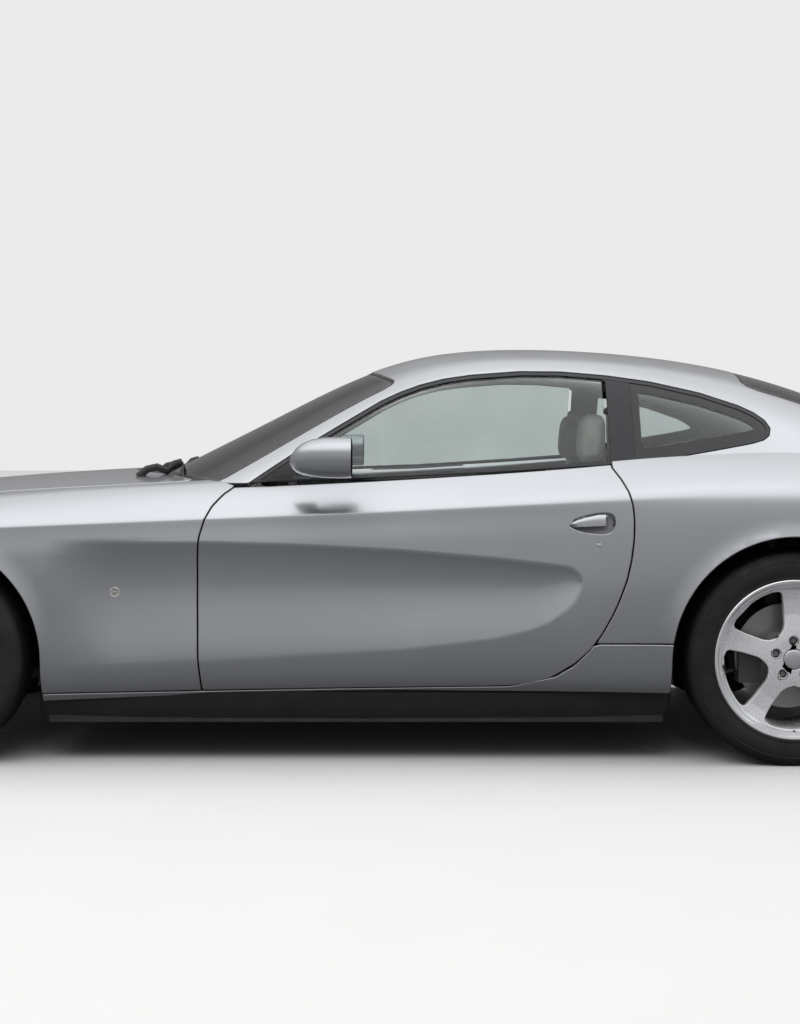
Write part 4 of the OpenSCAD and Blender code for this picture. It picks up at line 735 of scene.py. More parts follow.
def paint(name, color, look):
    """Metallic paint: fine flakes under clear lacquer with a faint ripple."""
    s = Shader(name, color, look.paint_roughness, 0.88)
    flakes = s.ramp(s.cells(900), (0.0, shade(color, 0.72)), (1.0, shade(color, 1.25)))
    tint = s.mix(s.mix((*color, 1), flakes, 0.10), s.ranged(s.noise(1.6, 2), 0.97, 1.03), blend="MULTIPLY")
    ripple = s.bump(s.noise(240, 2), 0.012, 0.0006)
    s.set(Coat_Weight=0.9, Coat_Roughness=0.03, Coat_IOR=1.5)
    return s.wire(Base_Color=tint, Roughness=s.ranged(s.noise(6), look.paint_roughness - 0.02,
                  look.paint_roughness + 0.03), Coat_Normal=ripple).mat


def plastic(name, color, rough=0.5, grain=900, depth=0.25, **extra):
    """Moulded plastic with a fine leathery grain."""
    s = Shader(name, color, rough, **extra)
    c = s.ramp(s.noise(14), (0.35, shade(color, 0.86)), (0.65, shade(color, 1.12)))
    grain_h = s.cells(grain, out="Distance")
    return s.wire(Base_Color=c, Roughness=s.ranged(s.noise(40), rough - 0.06, rough + 0.06),
                  Normal=s.bump(grain_h, depth, 0.0004)).mat


def metal(name, color, rough=0.3, brushed=None, streak=60, metallic=1.0):
    """Metal with faint stains; brushed is the axis along which its grain is stretched."""
    s = Shader(name, color, rough, metallic)
    v = s.coord
    if brushed is not None:
        scale = [streak] * 3
        scale[brushed] = streak / 30
        v = s.add("Mapping", Vector=s.coord, Scale=tuple(scale)).outputs[0]
    h = s.noise(5 if brushed is not None else streak, 4, coord=v)
    c = s.ramp(s.noise(9), (0.3, shade(color, 0.9)), (0.7, shade(color, 1.06)))
    return s.wire(Base_Color=c, Roughness=s.ranged(h, max(0.03, rough - 0.08), rough + 0.1),
                  Normal=s.bump(h, 0.06, 0.0004)).mat


def rubber(name, color, rough=0.75):
    s = Shader(name, color, rough)
    dust = s.ramp(s.noise(8, 5), (0.42, color), (0.75, tuple(x * 1.5 + 0.003 for x in color)))
    return s.wire(Base_Color=dust, Roughness=s.ranged(s.noise(20), rough - 0.1, rough + 0.1),
                  Normal=s.bump(s.noise(700, 2), 0.25, 0.0004)).mat


def leather(name, color, rough=0.5):
    """Leather: pebbled grain and soft creases; its colour follows the creases and darkens in their troughs as painted
    shade.
    """
    s = Shader(name, color, rough, Sheen_Weight=0.15)
    pebble = s.cells(420, out="Distance")
    crease = s.noise(26, 5)
    both_h = s.add("Math", {"operation": "MULTIPLY_ADD"}, i0=crease, i1=1.4, i2=pebble).outputs[0]
    # the colour darkens where the crease height sinks: painted shade in the creases
    c = s.ramp(crease, (0.3, shade(color, 0.82)), (0.7, shade(color, 1.05)))
    return s.wire(Base_Color=c, Roughness=s.ranged(pebble, rough - 0.08, rough + 0.12, 0, 0.6),
                  Normal=s.bump(both_h, 0.35, 0.0008)).mat


def carpet(name, color):
    s = Shader(name, color, 0.95, Sheen_Weight=0.4)
    tuft = s.noise(1400, 4, 0.8)
    c = s.ramp(s.noise(300, 3), (0.3, shade(color, 0.6)), (0.7, shade(color, 1.3)))
    return s.wire(Base_Color=c, Normal=s.bump(tuft, 0.9, 0.002)).mat


BORDER_BLACK = (0.012, 0.013, 0.014, 1)


def glass(name, tint, edge=None):
    """Window glass: clear tinted body with a mirror on it, and a black ceramic border out to edge mm from its rim."""
    s = Shader(name, tint, 0.05)
    out = s.tree.nodes["Material Output"]
    clear = s.add("BsdfTransparent")
    s.put(s.mix((*tint, 1), s.ranged(s.noise(3, 2), 0.97, 1.03), blend="MULTIPLY"), clear.inputs["Color"])
    gloss = s.add("BsdfGlossy", Roughness=0.0)
    gloss.inputs["Color"].default_value = (1, 1, 1, 1)
    fresnel = s.add("Fresnel", IOR=1.45).outputs[0]
    body = s.add("MixShader", Fac=fresnel, i1=clear.outputs[0], i2=gloss.outputs[0]).outputs[0]
    if edge:
        rim = s.attribute("rim")
        dots = s.add("Math", {"operation": "MULTIPLY_ADD"}, i0=s.cells(260, out="Distance"), i1=6.0,
                     i2=rim).outputs[0]
        band = s.ranged(dots, 1, 0, edge, edge + 1.5)
        s.set(Base_Color=BORDER_BLACK, Roughness=0.12)
        s.wire(Roughness=s.ranged(s.noise(30), 0.08, 0.2))
        body = s.add("MixShader", Fac=band, i1=body, i2=s.bsdf.outputs[0]).outputs[0]
    s.put(body, out.inputs["Surface"])
    s.mat.diffuse_color = (*tint, 0.4)
    return s.mat


def lens(name, color, scale=220, rough=0.06):
    """Coloured lamp plastic over a pattern of small optics, each painted brighter at its centre and darker at its rim
    as a painted glint.
    """
    s = Shader(name, color, rough, Transmission_Weight=0.25, Coat_Weight=0.6)
    optics = s.cells(scale, out="Distance")
    # each optic is brighter in its dimpled centre and darker at its rim: painted glints
    c = s.ramp(optics, (0.0, tuple(min(1, x * 1.5 + 0.02) for x in color)), (0.6, shade(color, 0.45)))
    return s.wire(Base_Color=c, Normal=s.bump(optics, 0.5, 0.002)).mat


def build_materials(look):
    return {
        "paint": paint("silver_paint", tuple(look.paint_color), look),
        "black_gloss": plastic("gloss_black_trim", (0.012, 0.013, 0.015), 0.16, 1400, 0.04),
        "black": plastic("black_plastic", (0.013, 0.0135, 0.0145), 0.55),
        # near-black lining for the wheels' bolt pockets: painted shade in the pockets
        "dark": plastic("bolt_pocket_painted_shade", (0.010, 0.010, 0.011), 0.9, 300, 0.5),
        "pillar": plastic("pillar_cover", (0.012, 0.013, 0.015), 0.45, 1200, 0.08),
        "seal": rubber("window_seal", (0.012, 0.012, 0.013), 0.6),
        "tyre": rubber("tyre_rubber", (0.010, 0.010, 0.0105), 0.78),
        "alloy": metal("wheel_silver", (0.80, 0.81, 0.83), 0.30, streak=300, metallic=0.45),
        "cast": metal("cast_iron", (0.16, 0.155, 0.15), 0.62, streak=220),
        "steel": metal("brushed_steel", (0.55, 0.55, 0.55), 0.32, brushed=0),
        "chrome": metal("polished_chrome", (0.82, 0.83, 0.84), 0.07, streak=30),
        "disc": metal("brake_disc_steel", (0.42, 0.41, 0.40), 0.36, streak=260),
        "underbody": plastic("underbody_coating", (0.030, 0.030, 0.031), 0.85, 160, 0.9),
        "leather": leather("seat_leather", (0.68, 0.655, 0.61)),
        "leather_dark": leather("dark_leather", (0.05, 0.048, 0.047)),
        "dash": leather("dashboard_skin", (0.085, 0.083, 0.08), 0.62),
        "headliner": carpet("headlining", (0.42, 0.41, 0.39)),
        "carpet": carpet("floor_carpet", (0.10, 0.097, 0.092)),
        "glass": glass("tinted_glass", (0.805, 0.838, 0.832), 9),
        "glass_frit": glass("tinted_glass_with_border", (0.795, 0.828, 0.822), 30),
        "screen_glass": glass("windscreen_glass", (0.87, 0.90, 0.885), 26),
        "clear": glass("clear_lens", (0.94, 0.95, 0.95)),
        "red": lens("red_lens", (0.36, 0.008, 0.010)),
        "alloy_lip": metal("wheel_lip", (0.84, 0.85, 0.87), 0.18, streak=60, metallic=0.6),
        "cap": metal("wheel_cap", (0.50, 0.51, 0.53), 0.34, streak=200, metallic=0.5),
        "steel_bolt": metal("bolt_steel", (0.36, 0.36, 0.37), 0.36, streak=150),
        "mirror": metal("mirror_glass", (0.86, 0.88, 0.88), 0.03, streak=20),
        "lamp_dark": plastic("lamp_housing", (0.05, 0.052, 0.055), 0.35, 800, 0.1),
        "projector": lens("projector_lens", (0.55, 0.58, 0.62), 60, 0.04),
        "clear_core": lens("reversing_lens", (0.55, 0.52, 0.50), 300, 0.08),
        "belt": carpet("seat_belt_webbing", (0.30, 0.29, 0.27)),
        # the body paint at 0.4 of its brightness, for the door's inside: painted shade
        "shaded_paint_in": plastic("inner_paint_painted_shade", (0.20, 0.205, 0.215), 0.4, 1500, 0.05),
        "liner": carpet("arch_liner_felt", (0.020, 0.020, 0.021)),
    }


# ---- Body panels ----

SIDES = (("left", False), ("right", True))


def panel(name, patch, mat, body, replaces=(), mirror=False, smooth=None, depth=10.0, roll=ROLL, slot="silver_paint"):
    """A painted panel from a cut patch: analytic normals outside, rolled edges, closed inside."""
    patch.tidy()
    x, n = patch.xyz(), patch.normals()
    if smooth is not None:
        x, n = relax(x, n, patch.t, smooth)
    points, faces, normals = thick(x, n, patch.t, roll, depth)
    if mirror:
        points, faces, normals = mirrored(points, faces, normals)
    return make(name, points, faces, mat, body, normals, slot=slot, replaces=replaces)


def triangle_normals(x, t):
    """Normals of points from the triangles round them."""
    f = np.cross(x[t[:, 1]] - x[t[:, 0]], x[t[:, 2]] - x[t[:, 0]])
    own = np.zeros_like(x)
    for k in range(3):
        np.add.at(own, t[:, k], f)
    return unit(own)


def relax(x, n, t, where, rounds=60):
    """Evens out the skin where `where` says so, and takes normals from its triangles there."""
    w = np.clip(where(x), 0, 1)
    w[np.unique(border(t))] = 0
    e = np.unique(np.sort(edges_of(t), 1), axis=0)
    count = np.bincount(e.ravel(), minlength=len(x))[:, None]
    moving = w > 0
    for _ in range(rounds):
        total = np.zeros_like(x)
        np.add.at(total, e[:, 0], x[e[:, 1]])
        np.add.at(total, e[:, 1], x[e[:, 0]])
        x = np.where(moving[:, None], x + (total / np.maximum(count, 1) - x) * 0.6 * w[:, None], x)
    share = np.clip(w * 4, 0, 1)[:, None]
    return x, unit(n * (1 - share) + triangle_normals(x, t) * share)


# The fender ends here, and slopes forwards below the cowl's height by a share of the way down
FENDER_END, FENDER_TOP, FENDER_SLOPE = 404, 880, 9
# Above these heights the greenhouse hides the lower sheet, on the fenders and at the rear
FENDER_HIDDEN, REAR_HIDDEN = 800, 940


def build_panels(mats):
    silver = mats["paint"]
    under_dome = covered_by(tree_of(dome_sheet, (0.6, 12.9), (0, 12), (10, 6)))
    under_body = covered_by(tree_of(body_sheet, (5, 21.9), (7, 15), (12, 8)))

    def cowl_area(p):
        return np.maximum(np.abs(p[:, 1]) - 693, np.maximum(381 - p[:, 0], p[:, 0] - 887))

    for side, flipped in SIDES:
        fender = Patch(body_sheet, (2.3, 10.1), (0, 10.4), (24, 8)).cuts(
            outside(door_line), outside(front_line), outside(sill_line), outside(hood_line),
            outside(lamp_line, 3.2), off_arch, outside(cowl_area, 0), outside(screen_line, 2),
            lambda p: np.where(p[:, 2] > FENDER_HIDDEN, under_dome(p), -FAR_OFF),
            lambda p: FENDER_END - p[:, 0] + np.minimum(0, p[:, 2] - FENDER_TOP) * FENDER_SLOPE)
        shoulder_cuts(fender)
        panel(f"{side}_fender_skin", fender, silver, "body", [f"{side}_front_fender"], flipped)

        door = Patch(body_sheet, (8.4, 14.6), (0, 8), (26, 9)).cuts(inside(door_line),
                lambda p: ROLL * 0.6 - handle_line(p), lambda p: -lock_line(p))
        crease_cuts(door)
        panel(f"{side}_door_skin", door, silver, f"{side}_door", [f"{side}_door"], flipped, depth=18)
        strip = Patch(body_sheet, (7, 15.4), (0, 3), (22, 14)).cuts(inside(sill_line), off_arch)
        panel(f"{side}_sill_strip", strip, silver, "body", ["sills"], flipped)

    boot_zone = above(boot_line, BOOT_LOW)
    rear = Patch(body_sheet, (13.1, 21.95), (0, 22), (22, 7)).cuts(
        outside(door_line), outside(sill_line), outside(rear_line), outside(boot_zone), outside(back_line, 2),
        off_arch, lambda p: ROLL + 1 - lamp_holes(p),
        lambda p: np.minimum(under_dome(p), p[:, 2] - REAR_HIDDEN))
    shoulder_cuts(rear)
    panel("rear_body_skin", rear, silver, "body", ["left_rear_quarter", "right_rear_quarter"])

    house = Patch(dome_sheet, (0.95, 12.1), (0, 12), (24, 12)).cuts(
        outside(window_line, -1.5), lambda p: ROLL + 1.5 - belt_line(p), outside(screen_line, 2),
        outside(back_line, 2),
        lambda p: under_body(p) - 2)
    panel("roof_and_pillars", house, silver, "body", ["roof_panel"], depth=22)

    bonnet = Patch(body_sheet, (0.2, 9.7), (8.02, 13.98), (24, 14)).cuts(inside(hood_line))
    panel("hood_skin", bonnet, silver, "hood", ["hood"], depth=16)

    lid = Patch(body_sheet, (17.1, 26.9), (4.3, 10.98), (24, 14)).cuts(inside(boot_zone))
    panel("boot_lid_skin", lid, silver, "boot_lid", ["boot_lid"], depth=16,
          smooth=lambda p: (p[:, 0] < -2300) * np.clip((260 - np.abs(p[:, 1])) / 80, 0, 1))

    nose = Patch(body_sheet, (-5.3, 5.3), (0, 10.95), (22, 10)).cuts(
        inside(front_line), outside(above(lamp_line, LAMP_LOW), 3.2), outside(above(hood_line, LAMP_LOW)),
        outside(mouth_line, 0), outside(hole_line(*TOW), 0), off_arch)
    panel("front_bumper_skin", nose, silver, "body", ["front_bumper"],
          smooth=lambda p: np.clip((p[:, 2] - 640) / 30, 0, 1) * np.clip((300 - np.abs(p[:, 1])) / 80, 0, 1))
    tail = Patch(body_sheet, (16.6, 27.4), (0, 6), (22, 10)).cuts(
        inside(rear_line), outside(tip_line, 0), outside(hole_line(-TOW[0], *TOW[1:]), 0), off_arch)
    panel("rear_bumper_skin", tail, silver, "body", ["rear_bumper"])


# ---- Repeats by geometry nodes ----


def repeat_tree():
    """Copies of one unit along a line or round an axis, joined and given a material."""
    tree = bpy.data.node_groups.new("repeat_unit", "GeometryNodeTree")
    face = tree.interface
    face.new_socket("Geometry", in_out="INPUT", socket_type="NodeSocketGeometry")
    for label, kind, default in (("Unit", "Object", None), ("Count", "Int", 5), ("Step", "Vector", (0, 0, 0)),
                                 ("Turn", "Vector", (0, 0, 0)), ("Centre", "Vector", (0, 0, 0)),
                                 ("Size change", "Float", 0.0), ("Seed", "Int", 3), ("Material", "Material", None)):
        s = face.new_socket(label, in_out="INPUT", socket_type="NodeSocket" + kind)
        if default is not None:
            s.default_value = default
    face.new_socket("Geometry", in_out="OUTPUT", socket_type="NodeSocketGeometry")
    node, link = tree.nodes.new, tree.links.new
    given, out = node("NodeGroupInput"), node("NodeGroupOutput")
    line = node("GeometryNodeMeshLine")
    link(given.outputs["Count"], line.inputs["Count"])
    line.inputs["Start Location"].default_value = (0, 0, 0)
    link(given.outputs["Step"], line.inputs["Offset"])
    unit = node("GeometryNodeObjectInfo")
    link(given.outputs["Unit"], unit.inputs["Object"])
    index = node("GeometryNodeInputIndex")
    turn = node("ShaderNodeVectorMath")
    turn.operation = "SCALE"
    link(given.outputs["Turn"], turn.inputs[0])
    link(index.outputs[0], turn.inputs["Scale"])
    vary = node("FunctionNodeRandomValue")
    vary.data_type = "FLOAT"
    low = node("ShaderNodeMath")
    low.operation = "SUBTRACT"
    low.inputs[0].default_value = 1
    link(given.outputs["Size change"], low.inputs[1])
    link(low.outputs[0], vary.inputs[2])
    vary.inputs[3].default_value = 1
    link(given.outputs["Seed"], vary.inputs["Seed"])
    copies = node("GeometryNodeInstanceOnPoints")
    link(line.outputs["Mesh"], copies.inputs["Points"])
    link(unit.outputs["Geometry"], copies.inputs["Instance"])
    link(turn.outputs[0], copies.inputs["Rotation"])
    link(vary.outputs[1], copies.inputs["Scale"])
    real = node("GeometryNodeRealizeInstances")
    link(copies.outputs[0], real.inputs[0])
    place = node("GeometryNodeTransform")
    link(real.outputs[0], place.inputs["Geometry"])
    link(given.outputs["Centre"], place.inputs["Translation"])
    mat = node("GeometryNodeSetMaterial")
    link(place.outputs[0], mat.inputs["Geometry"])
    link(given.outputs["Material"], mat.inputs["Material"])
    link(mat.outputs[0], out.inputs[0])
    return tree


def repeat(name, unit, mat, body, count, step=(0, 0, 0), turn=(0, 0, 0), centre=(0, 0, 0), change=0.0, smooth=None,
           replaces=(), mirror=False):
    """Runs the repeat tree on a unit given as (points, faces) in millimetres and keeps the plain mesh."""
    tree = bpy.data.node_groups.get("repeat_unit") or repeat_tree()
    points, faces = unit[:2]
    scene = bpy.context.scene
    me = bpy.data.meshes.new(name + "_unit")
    me.from_pydata((np.asarray(points, float) * MM).tolist(), [], [list(f) for f in faces])
    me.validate()
    if smooth is None:
        me.shade_flat()
    else:
        me.shade_smooth()
        sharp_edges(me, smooth)
    u = bpy.data.objects.new(name + "_unit", me)
    host = bpy.data.objects.new(name + "_host", bpy.data.meshes.new(name + "_host"))
    for o in (u, host):
        scene.collection.objects.link(o)
    mod = host.modifiers.new("repeat", "NODES")
    mod.node_group = tree
    values = {"Unit": u, "Count": count, "Step": Vector(step) * MM, "Turn": [math.radians(a) for a in turn],
              "Centre": Vector(centre) * MM, "Size change": change, "Seed": 3, "Material": mat}
    for item in tree.interface.items_tree:
        if item.item_type == "SOCKET" and item.in_out == "INPUT" and item.name in values:
            v = values[item.name]
            mod[item.identifier] = list(v) if isinstance(v, Vector) else v
    bpy.context.view_layer.update()
    got = bpy.data.meshes.new_from_object(host.evaluated_get(bpy.context.evaluated_depsgraph_get()))
    host.modifiers.remove(mod)
    for o in (u, host):
        data = o.data
        bpy.data.objects.remove(o)
        bpy.data.meshes.remove(data)
    if mirror:
        got.transform(Matrix.Scale(-1, 4, (0, 1, 0)))
        got.flip_normals()
    if not got.materials:
        got.materials.append(mat)
    got.name = name
    o = bpy.data.objects.new(name, got)
    scene.collection.objects.link(o)
    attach(o, body)
    if replaces:
        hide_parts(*replaces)
    return o


def sharp_edges(me, degrees):
    """Marks the edges whose faces meet at more than this angle."""
    bm = bmesh.new()
    bm.from_mesh(me)
    for e in bm.edges:
        e.smooth = len(e.link_faces) == 2 and e.calc_face_angle(0) < math.radians(degrees)
    bm.to_mesh(me)
    bm.free()


# ---- Plain solids, in millimetres: each returns points and faces ----


def lathe(profile, segments=64, centre=(0, 0, 0), axis="Y", closed=True):
    """Turns (radius, along) points round an axis. A closed profile makes a ring; an open one ends on the axis."""
    p = np.array(profile, float)
    n, m = len(p), segments
    a = np.linspace(0, 2 * math.pi, m, endpoint=False)
    r, h = p[:, 0][:, None], p[:, 1][:, None]
    u, v, w = r * np.cos(a), r * np.sin(a), h + 0 * a
    order = {"Y": (u, w, -v), "X": (w, u, v), "Z": (u, v, w)}[axis]
    points = np.stack(order, -1).reshape(-1, 3) + centre
    faces = []
    for k in range(n if closed else n - 1):
        for j in range(m):
            a0, a1 = k * m + j, k * m + (j + 1) % m
            b0, b1 = (k + 1) % n * m + j, (k + 1) % n * m + (j + 1) % m
            faces.append((a0, b0, b1, a1))
    if not closed:
        faces += [tuple(range(m)), tuple(range((n - 1) * m, n * m))[::-1]]
    return points, faces


def block(a, b, bevel=0.0):
    """A box with bevelled edges."""
    bm = bmesh.new()
    bmesh.ops.create_cube(bm, size=1)
    a, b = np.array(a, float), np.array(b, float)
    for v in bm.verts:
        v.co = Vector((a + b) / 2 + np.array(v.co) * (b - a))
    if bevel:
        bmesh.ops.bevel(bm, geom=bm.edges[:] + bm.verts[:], offset=bevel, segments=2, affect="EDGES", profile=0.5)
    return from_bmesh(bm)


def from_bmesh(bm):
    """Points and faces of a bmesh, facing outwards."""
    bmesh.ops.recalc_face_normals(bm, faces=bm.faces[:])
    bm.verts.index_update()
    got = np.array([v.co[:] for v in bm.verts]), [tuple(v.index for v in f.verts) for f in bm.faces]
    bm.free()
    return got


def loft(rings, close_ends=True):
    """Joins rings of equal length, in order."""
    m = len(rings[0])
    faces = [(k * m + j, k * m + (j + 1) % m, (k + 1) * m + (j + 1) % m, (k + 1) * m + j)
             for k in range(len(rings) - 1) for j in range(m)]
    if close_ends:
        faces += [tuple(range(m))[::-1], tuple(range((len(rings) - 1) * m, len(rings) * m))]
    return outward(np.concatenate([np.array(r, float) for r in rings]), faces)


def outward(points, faces):
    """Turns every face of a closed solid to look out."""
    bm = bmesh.new()
    vs = [bm.verts.new(p) for p in points]
    for f in faces:
        if len(set(f)) > 2:
            try:
                bm.faces.new([vs[k] for k in f])
            except ValueError:
                pass
    return from_bmesh(bm)


def oval(centre, half, power=2.4, count=28, axes=(1, 2)):
    """A superellipse ring in the plane of two axes."""
    out = []
    for k in range(count):
        a = 2 * math.pi * k / count
        c, s = math.cos(a), math.sin(a)
        p = list(centre)
        p[axes[0]] += half[0] * math.copysign(abs(c)**(2 / power), c)
        p[axes[1]] += half[1] * math.copysign(abs(s)**(2 / power), s)
        out.append(p)
    return out


def join(*parts):
    """Several solids as one."""
    points, faces, base = [], [], 0
    for p, f in parts:
        points.append(np.asarray(p, float))
        faces += [tuple(i + base for i in q) for q in f]
        base += len(p)
    return np.concatenate(points), faces


def tube(path, r, sides=12):
    """A round bar along a path of points."""
    path = np.array(path, float)
    rings = []
    for k, p in enumerate(path):
        d = unit(path[min(k + 1, len(path) - 1)] - path[max(k - 1, 0)])
        u = unit(np.cross(d, (0.3, 0.2, 0.93)))
        w = np.cross(d, u)
        rings.append([p + r * (math.cos(a) * u + math.sin(a) * w)
                      for a in np.linspace(0, 2 * math.pi, sides, endpoint=False)])
    return loft(rings)


def solid(name, shape, mat, body, smooth=35, flip=False, **extra):
    """A riding mesh from (points, faces), smoothed except at edges sharper than `smooth`."""
    points, faces = shape
    if flip:
        points, faces, _ = mirrored(np.asarray(points, float), faces)
    o = make(name, points, faces, mat, body, **extra)
    sharp_edges(o.data, smooth)
    return o


def set_float(o, name, values):
    """A value at each point, for materials to read."""
    a = o.data.attributes.new(name, "FLOAT", "POINT")
    a.data.foreach_set("value", np.asarray(values, np.float32))


def mesh_points(o):
    """The points of an object, in millimetres."""
    out = np.empty(len(o.data.vertices) * 3)
    o.data.vertices.foreach_get("co", out)
    return out.reshape(-1, 3) / MM


# ---- Windows and their trim ----


def sunk_panel(name, patch, mat, body, sink, depth, roll=1.0, flip=False, rim=None, **extra):
    """A panel from a patch whose skin lies sink mm inside the sheet."""
    patch.tidy()
    n = patch.normals()
    x = patch.xyz() - sink * n
    points, faces, normals = thick(x, n, patch.t, roll, depth)
    if flip:
        points, faces, normals = mirrored(points, faces, normals)
    o = make(name, points, faces, mat, body, normals, **extra)
    if rim:
        q = mesh_points(o)
        set_float(o, "rim", -rim(q))
    return o


def between(lo, hi):
    """Keeps what lies between two X places."""
    return lambda p: np.maximum(lo - p[:, 0], p[:, 0] - hi)


# Width of the black ring round the side windows
DLO = 17.0


def above_belt(p):
    return 4 - belt_line(p)


def build_windows(mats):
    split_b, split_q = SPLIT_X
    in_ring = inside(window_line, -1.5)

    def inner(p):
        return window_line(p) + DLO - 4

    def dome():
        return Patch(dome_sheet, (1.0, 9.8), (-1.1, 4.1), (30, 20))

    for side, flip in SIDES:
        door = f"{side}_door"
        pane = dict(rim=lambda p: np.maximum(window_line(p) + DLO - 6, -300), slot="glass",
                    replaces=[f"{side}_door_glass"])
        fixed = dict(rim=lambda p: np.maximum(window_line(p) + DLO, p[:, 0] - split_q), slot="glass",
                     replaces=["quarter_windows"])
        # name, cuts, material, body, depth under the sheet, thickness, roll
        for label, cuts, mat, body, sink, depth, roll, extra in (
                ("window_ring", (in_ring, lambda p: -DLO - window_line(p) + ROLL, above_belt),
                 "black_gloss", "body", 1.2, 9, 1.5, {}),
                ("belt_strip", (in_ring, lambda p: -DLO + 5 - window_line(p) + ROLL, lambda p: belt_line(p) + 2,
                                between(split_b + 4, 404)), "black_gloss", door, 0.6, 8, 1.5, {}),
                ("door_window", (inner, between(split_b + 4, 214)), "glass", door, 5, 4.5, 0.5, pane),
                ("sail_panel", (inner, between(212, 404)), "black", door, 3.5, 5, 1, {}),
                ("pillar_cover", (inner, between(split_q - 1, split_b - 10)), "pillar", "body", 2.2, 7, 1.5, {}),
                ("pillar_seal", (inner, between(split_b - 8, split_b + 1)), "seal", "body", 2.6, 12, 1.5, {}),
                ("quarter_window", (inner, between(-1500, split_q - 3)), "glass_frit", "body", 4, 5, 0.5, fixed)):
            sunk_panel(f"{side}_{label}", dome().cuts(*cuts), mats[mat], body, sink, depth, roll, flip, **extra)
    for label, line, span, wide, sink, seal_sink, keep in (
            ("windscreen", screen_line, (0.1, 4.4), 8, 4, 2.4, (past(2, 903),)),
            ("rear_window", back_line, (8.5, 12.7), 7, 1.5, 1.4, ())):
        pane, seal = (Patch(dome_sheet, span, (3.0, 9.0), (24, 14)) for _ in range(2))
        pane.cuts(lambda p: line(p) + 1.5, *keep)
        sunk_panel(f"{label}_pane", pane, mats["screen_glass"], "body", sink, 5, 1, rim=line, slot="glass",
                   replaces=[label])
        seal.cuts(lambda p: line(p) - 3.5, lambda p: -wide - line(p), *keep)
        sunk_panel(f"{label}_seal", seal, mats["seal"], "body", seal_sink, 8, 1)


# ---- Wheels ----


# Outer face of the wheels; axle x, tyre radius and width of each end; bolt circle; radius of the rim's edge
FACE_Y = 938.0
SPOKES = 5
WHEELS = {"front": (FRONT_X, WHEEL_R["front"], 245.0), "rear": (REAR_X, WHEEL_R["rear"], 285.0)}
BOLT_CIRCLE = 61
RIM_R = 265.0
GROOVES = 4
# Section of a tread block: along the axle, below the tyre's radius
TREAD = ((-38, 8), (-38, 0.4), (-30, 0.9), (-23, 1.7), (-16.5, 4.6), (-12, 9.5), (-14, 16))


def spoke_window(p):
    """Below 0 in the openings between the spokes, with rounded corners."""
    r = np.hypot(p[:, 0], p[:, 2])
    a = np.arctan2(p[:, 0], p[:, 2])
    turn = 2 * math.pi / SPOKES
    a = (a + turn / 2) % turn - turn / 2
    across = r * np.abs(np.sin(a))
    half = np.interp(r, (80, 120, 170, 220, 240), (38, 30, 31, 37, 43))
    d = np.stack([half - across, r - 231, 88 - r]) + 20
    return np.sqrt((np.maximum(d, 0)**2).sum(0)) + np.minimum(d.max(0), 0) - 20


def bolt_socket(p):
    """Below 0 in the pockets of the wheel bolts."""
    out = np.full(len(p), 1e3)
    for k in range(SPOKES):
        a = 2 * math.pi * k / SPOKES
        out = np.minimum(out, np.hypot(p[:, 0] - BOLT_CIRCLE * math.sin(a),
                p[:, 2] - BOLT_CIRCLE * math.cos(a)) - 15.5)
    return out


def face_profile(r):
    """How far the spokes' face lies inside the wheel's outer plane."""
    return np.interp(r, (0, 40, 70, 100, 150, 200, 232, 240, 246, 249),
                     (-22, -22, -22, -25, -31, -29, -22, -20, -19, -18))


def wheel_sheet(s, v):
    """The wheel's outer face: s is the angle in turns, v the radius."""
    a = np.asarray(s) * 2 * math.pi
    r = np.asarray(v, float)
    return np.stack([r * np.sin(a), face_profile(r), r * np.cos(a)], -1)


def wheel_face():
    """The spokes, cut from a disc, with crowned faces."""
    patch = Patch(wheel_sheet, (0, 1), (38, 243), (200, 0.16))
    # the seam at one turn is joined by wrapping the last column of points onto the first
    rows = len(np.unique(patch.p[:, 1]))
    last = len(patch.p) - rows
    patch.t = np.where(patch.t >= last, patch.t - last, patch.t)[:, ::-1]
    patch.cut(lambda p: 3.0 - spoke_window(p)).cut(lambda p: 2.0 - bolt_socket(p))
    patch.tidy()
    x, n = patch.xyz(), np.tile((0.0, 1.0, 0.0), (len(patch.p), 1))
    e = 2.0
    r = np.hypot(x[:, 0], x[:, 2])
    slope = (face_profile(r + e) - face_profile(r - e)) / (2 * e)
    n[:, 0], n[:, 2] = -slope * x[:, 0] / r, -slope * x[:, 2] / r
    crown = np.clip(spoke_window(x) / 26, 0, 1)
    x[:, 1] -= 4.5 * crown**1.5 * np.clip((r - 84) / 40, 0, 1)
    return thick(x, unit(n), patch.t, 3.0, 26, (22, 45, 67, 90))


def wheel_rings(width):
    """Lip, step and barrel of a rim, as a closed profile of (radius, along)."""
    r, w = RIM_R, -width
    return [(r - 27, -19), (r - 24, -15), (r - 17, -13.5), (r - 14, -9), (r - 10, -4.5), (r - 4, -3.5), (r - 0.6, -6),
            (r, -10),
            (r, -16), (r - 20, -25), (r - 20, w + 24), (r, w + 15), (r, w + 6), (r - 10, w + 6), (r - 32, w + 26),
            (r - 36, -60), (r - 34, -34)]


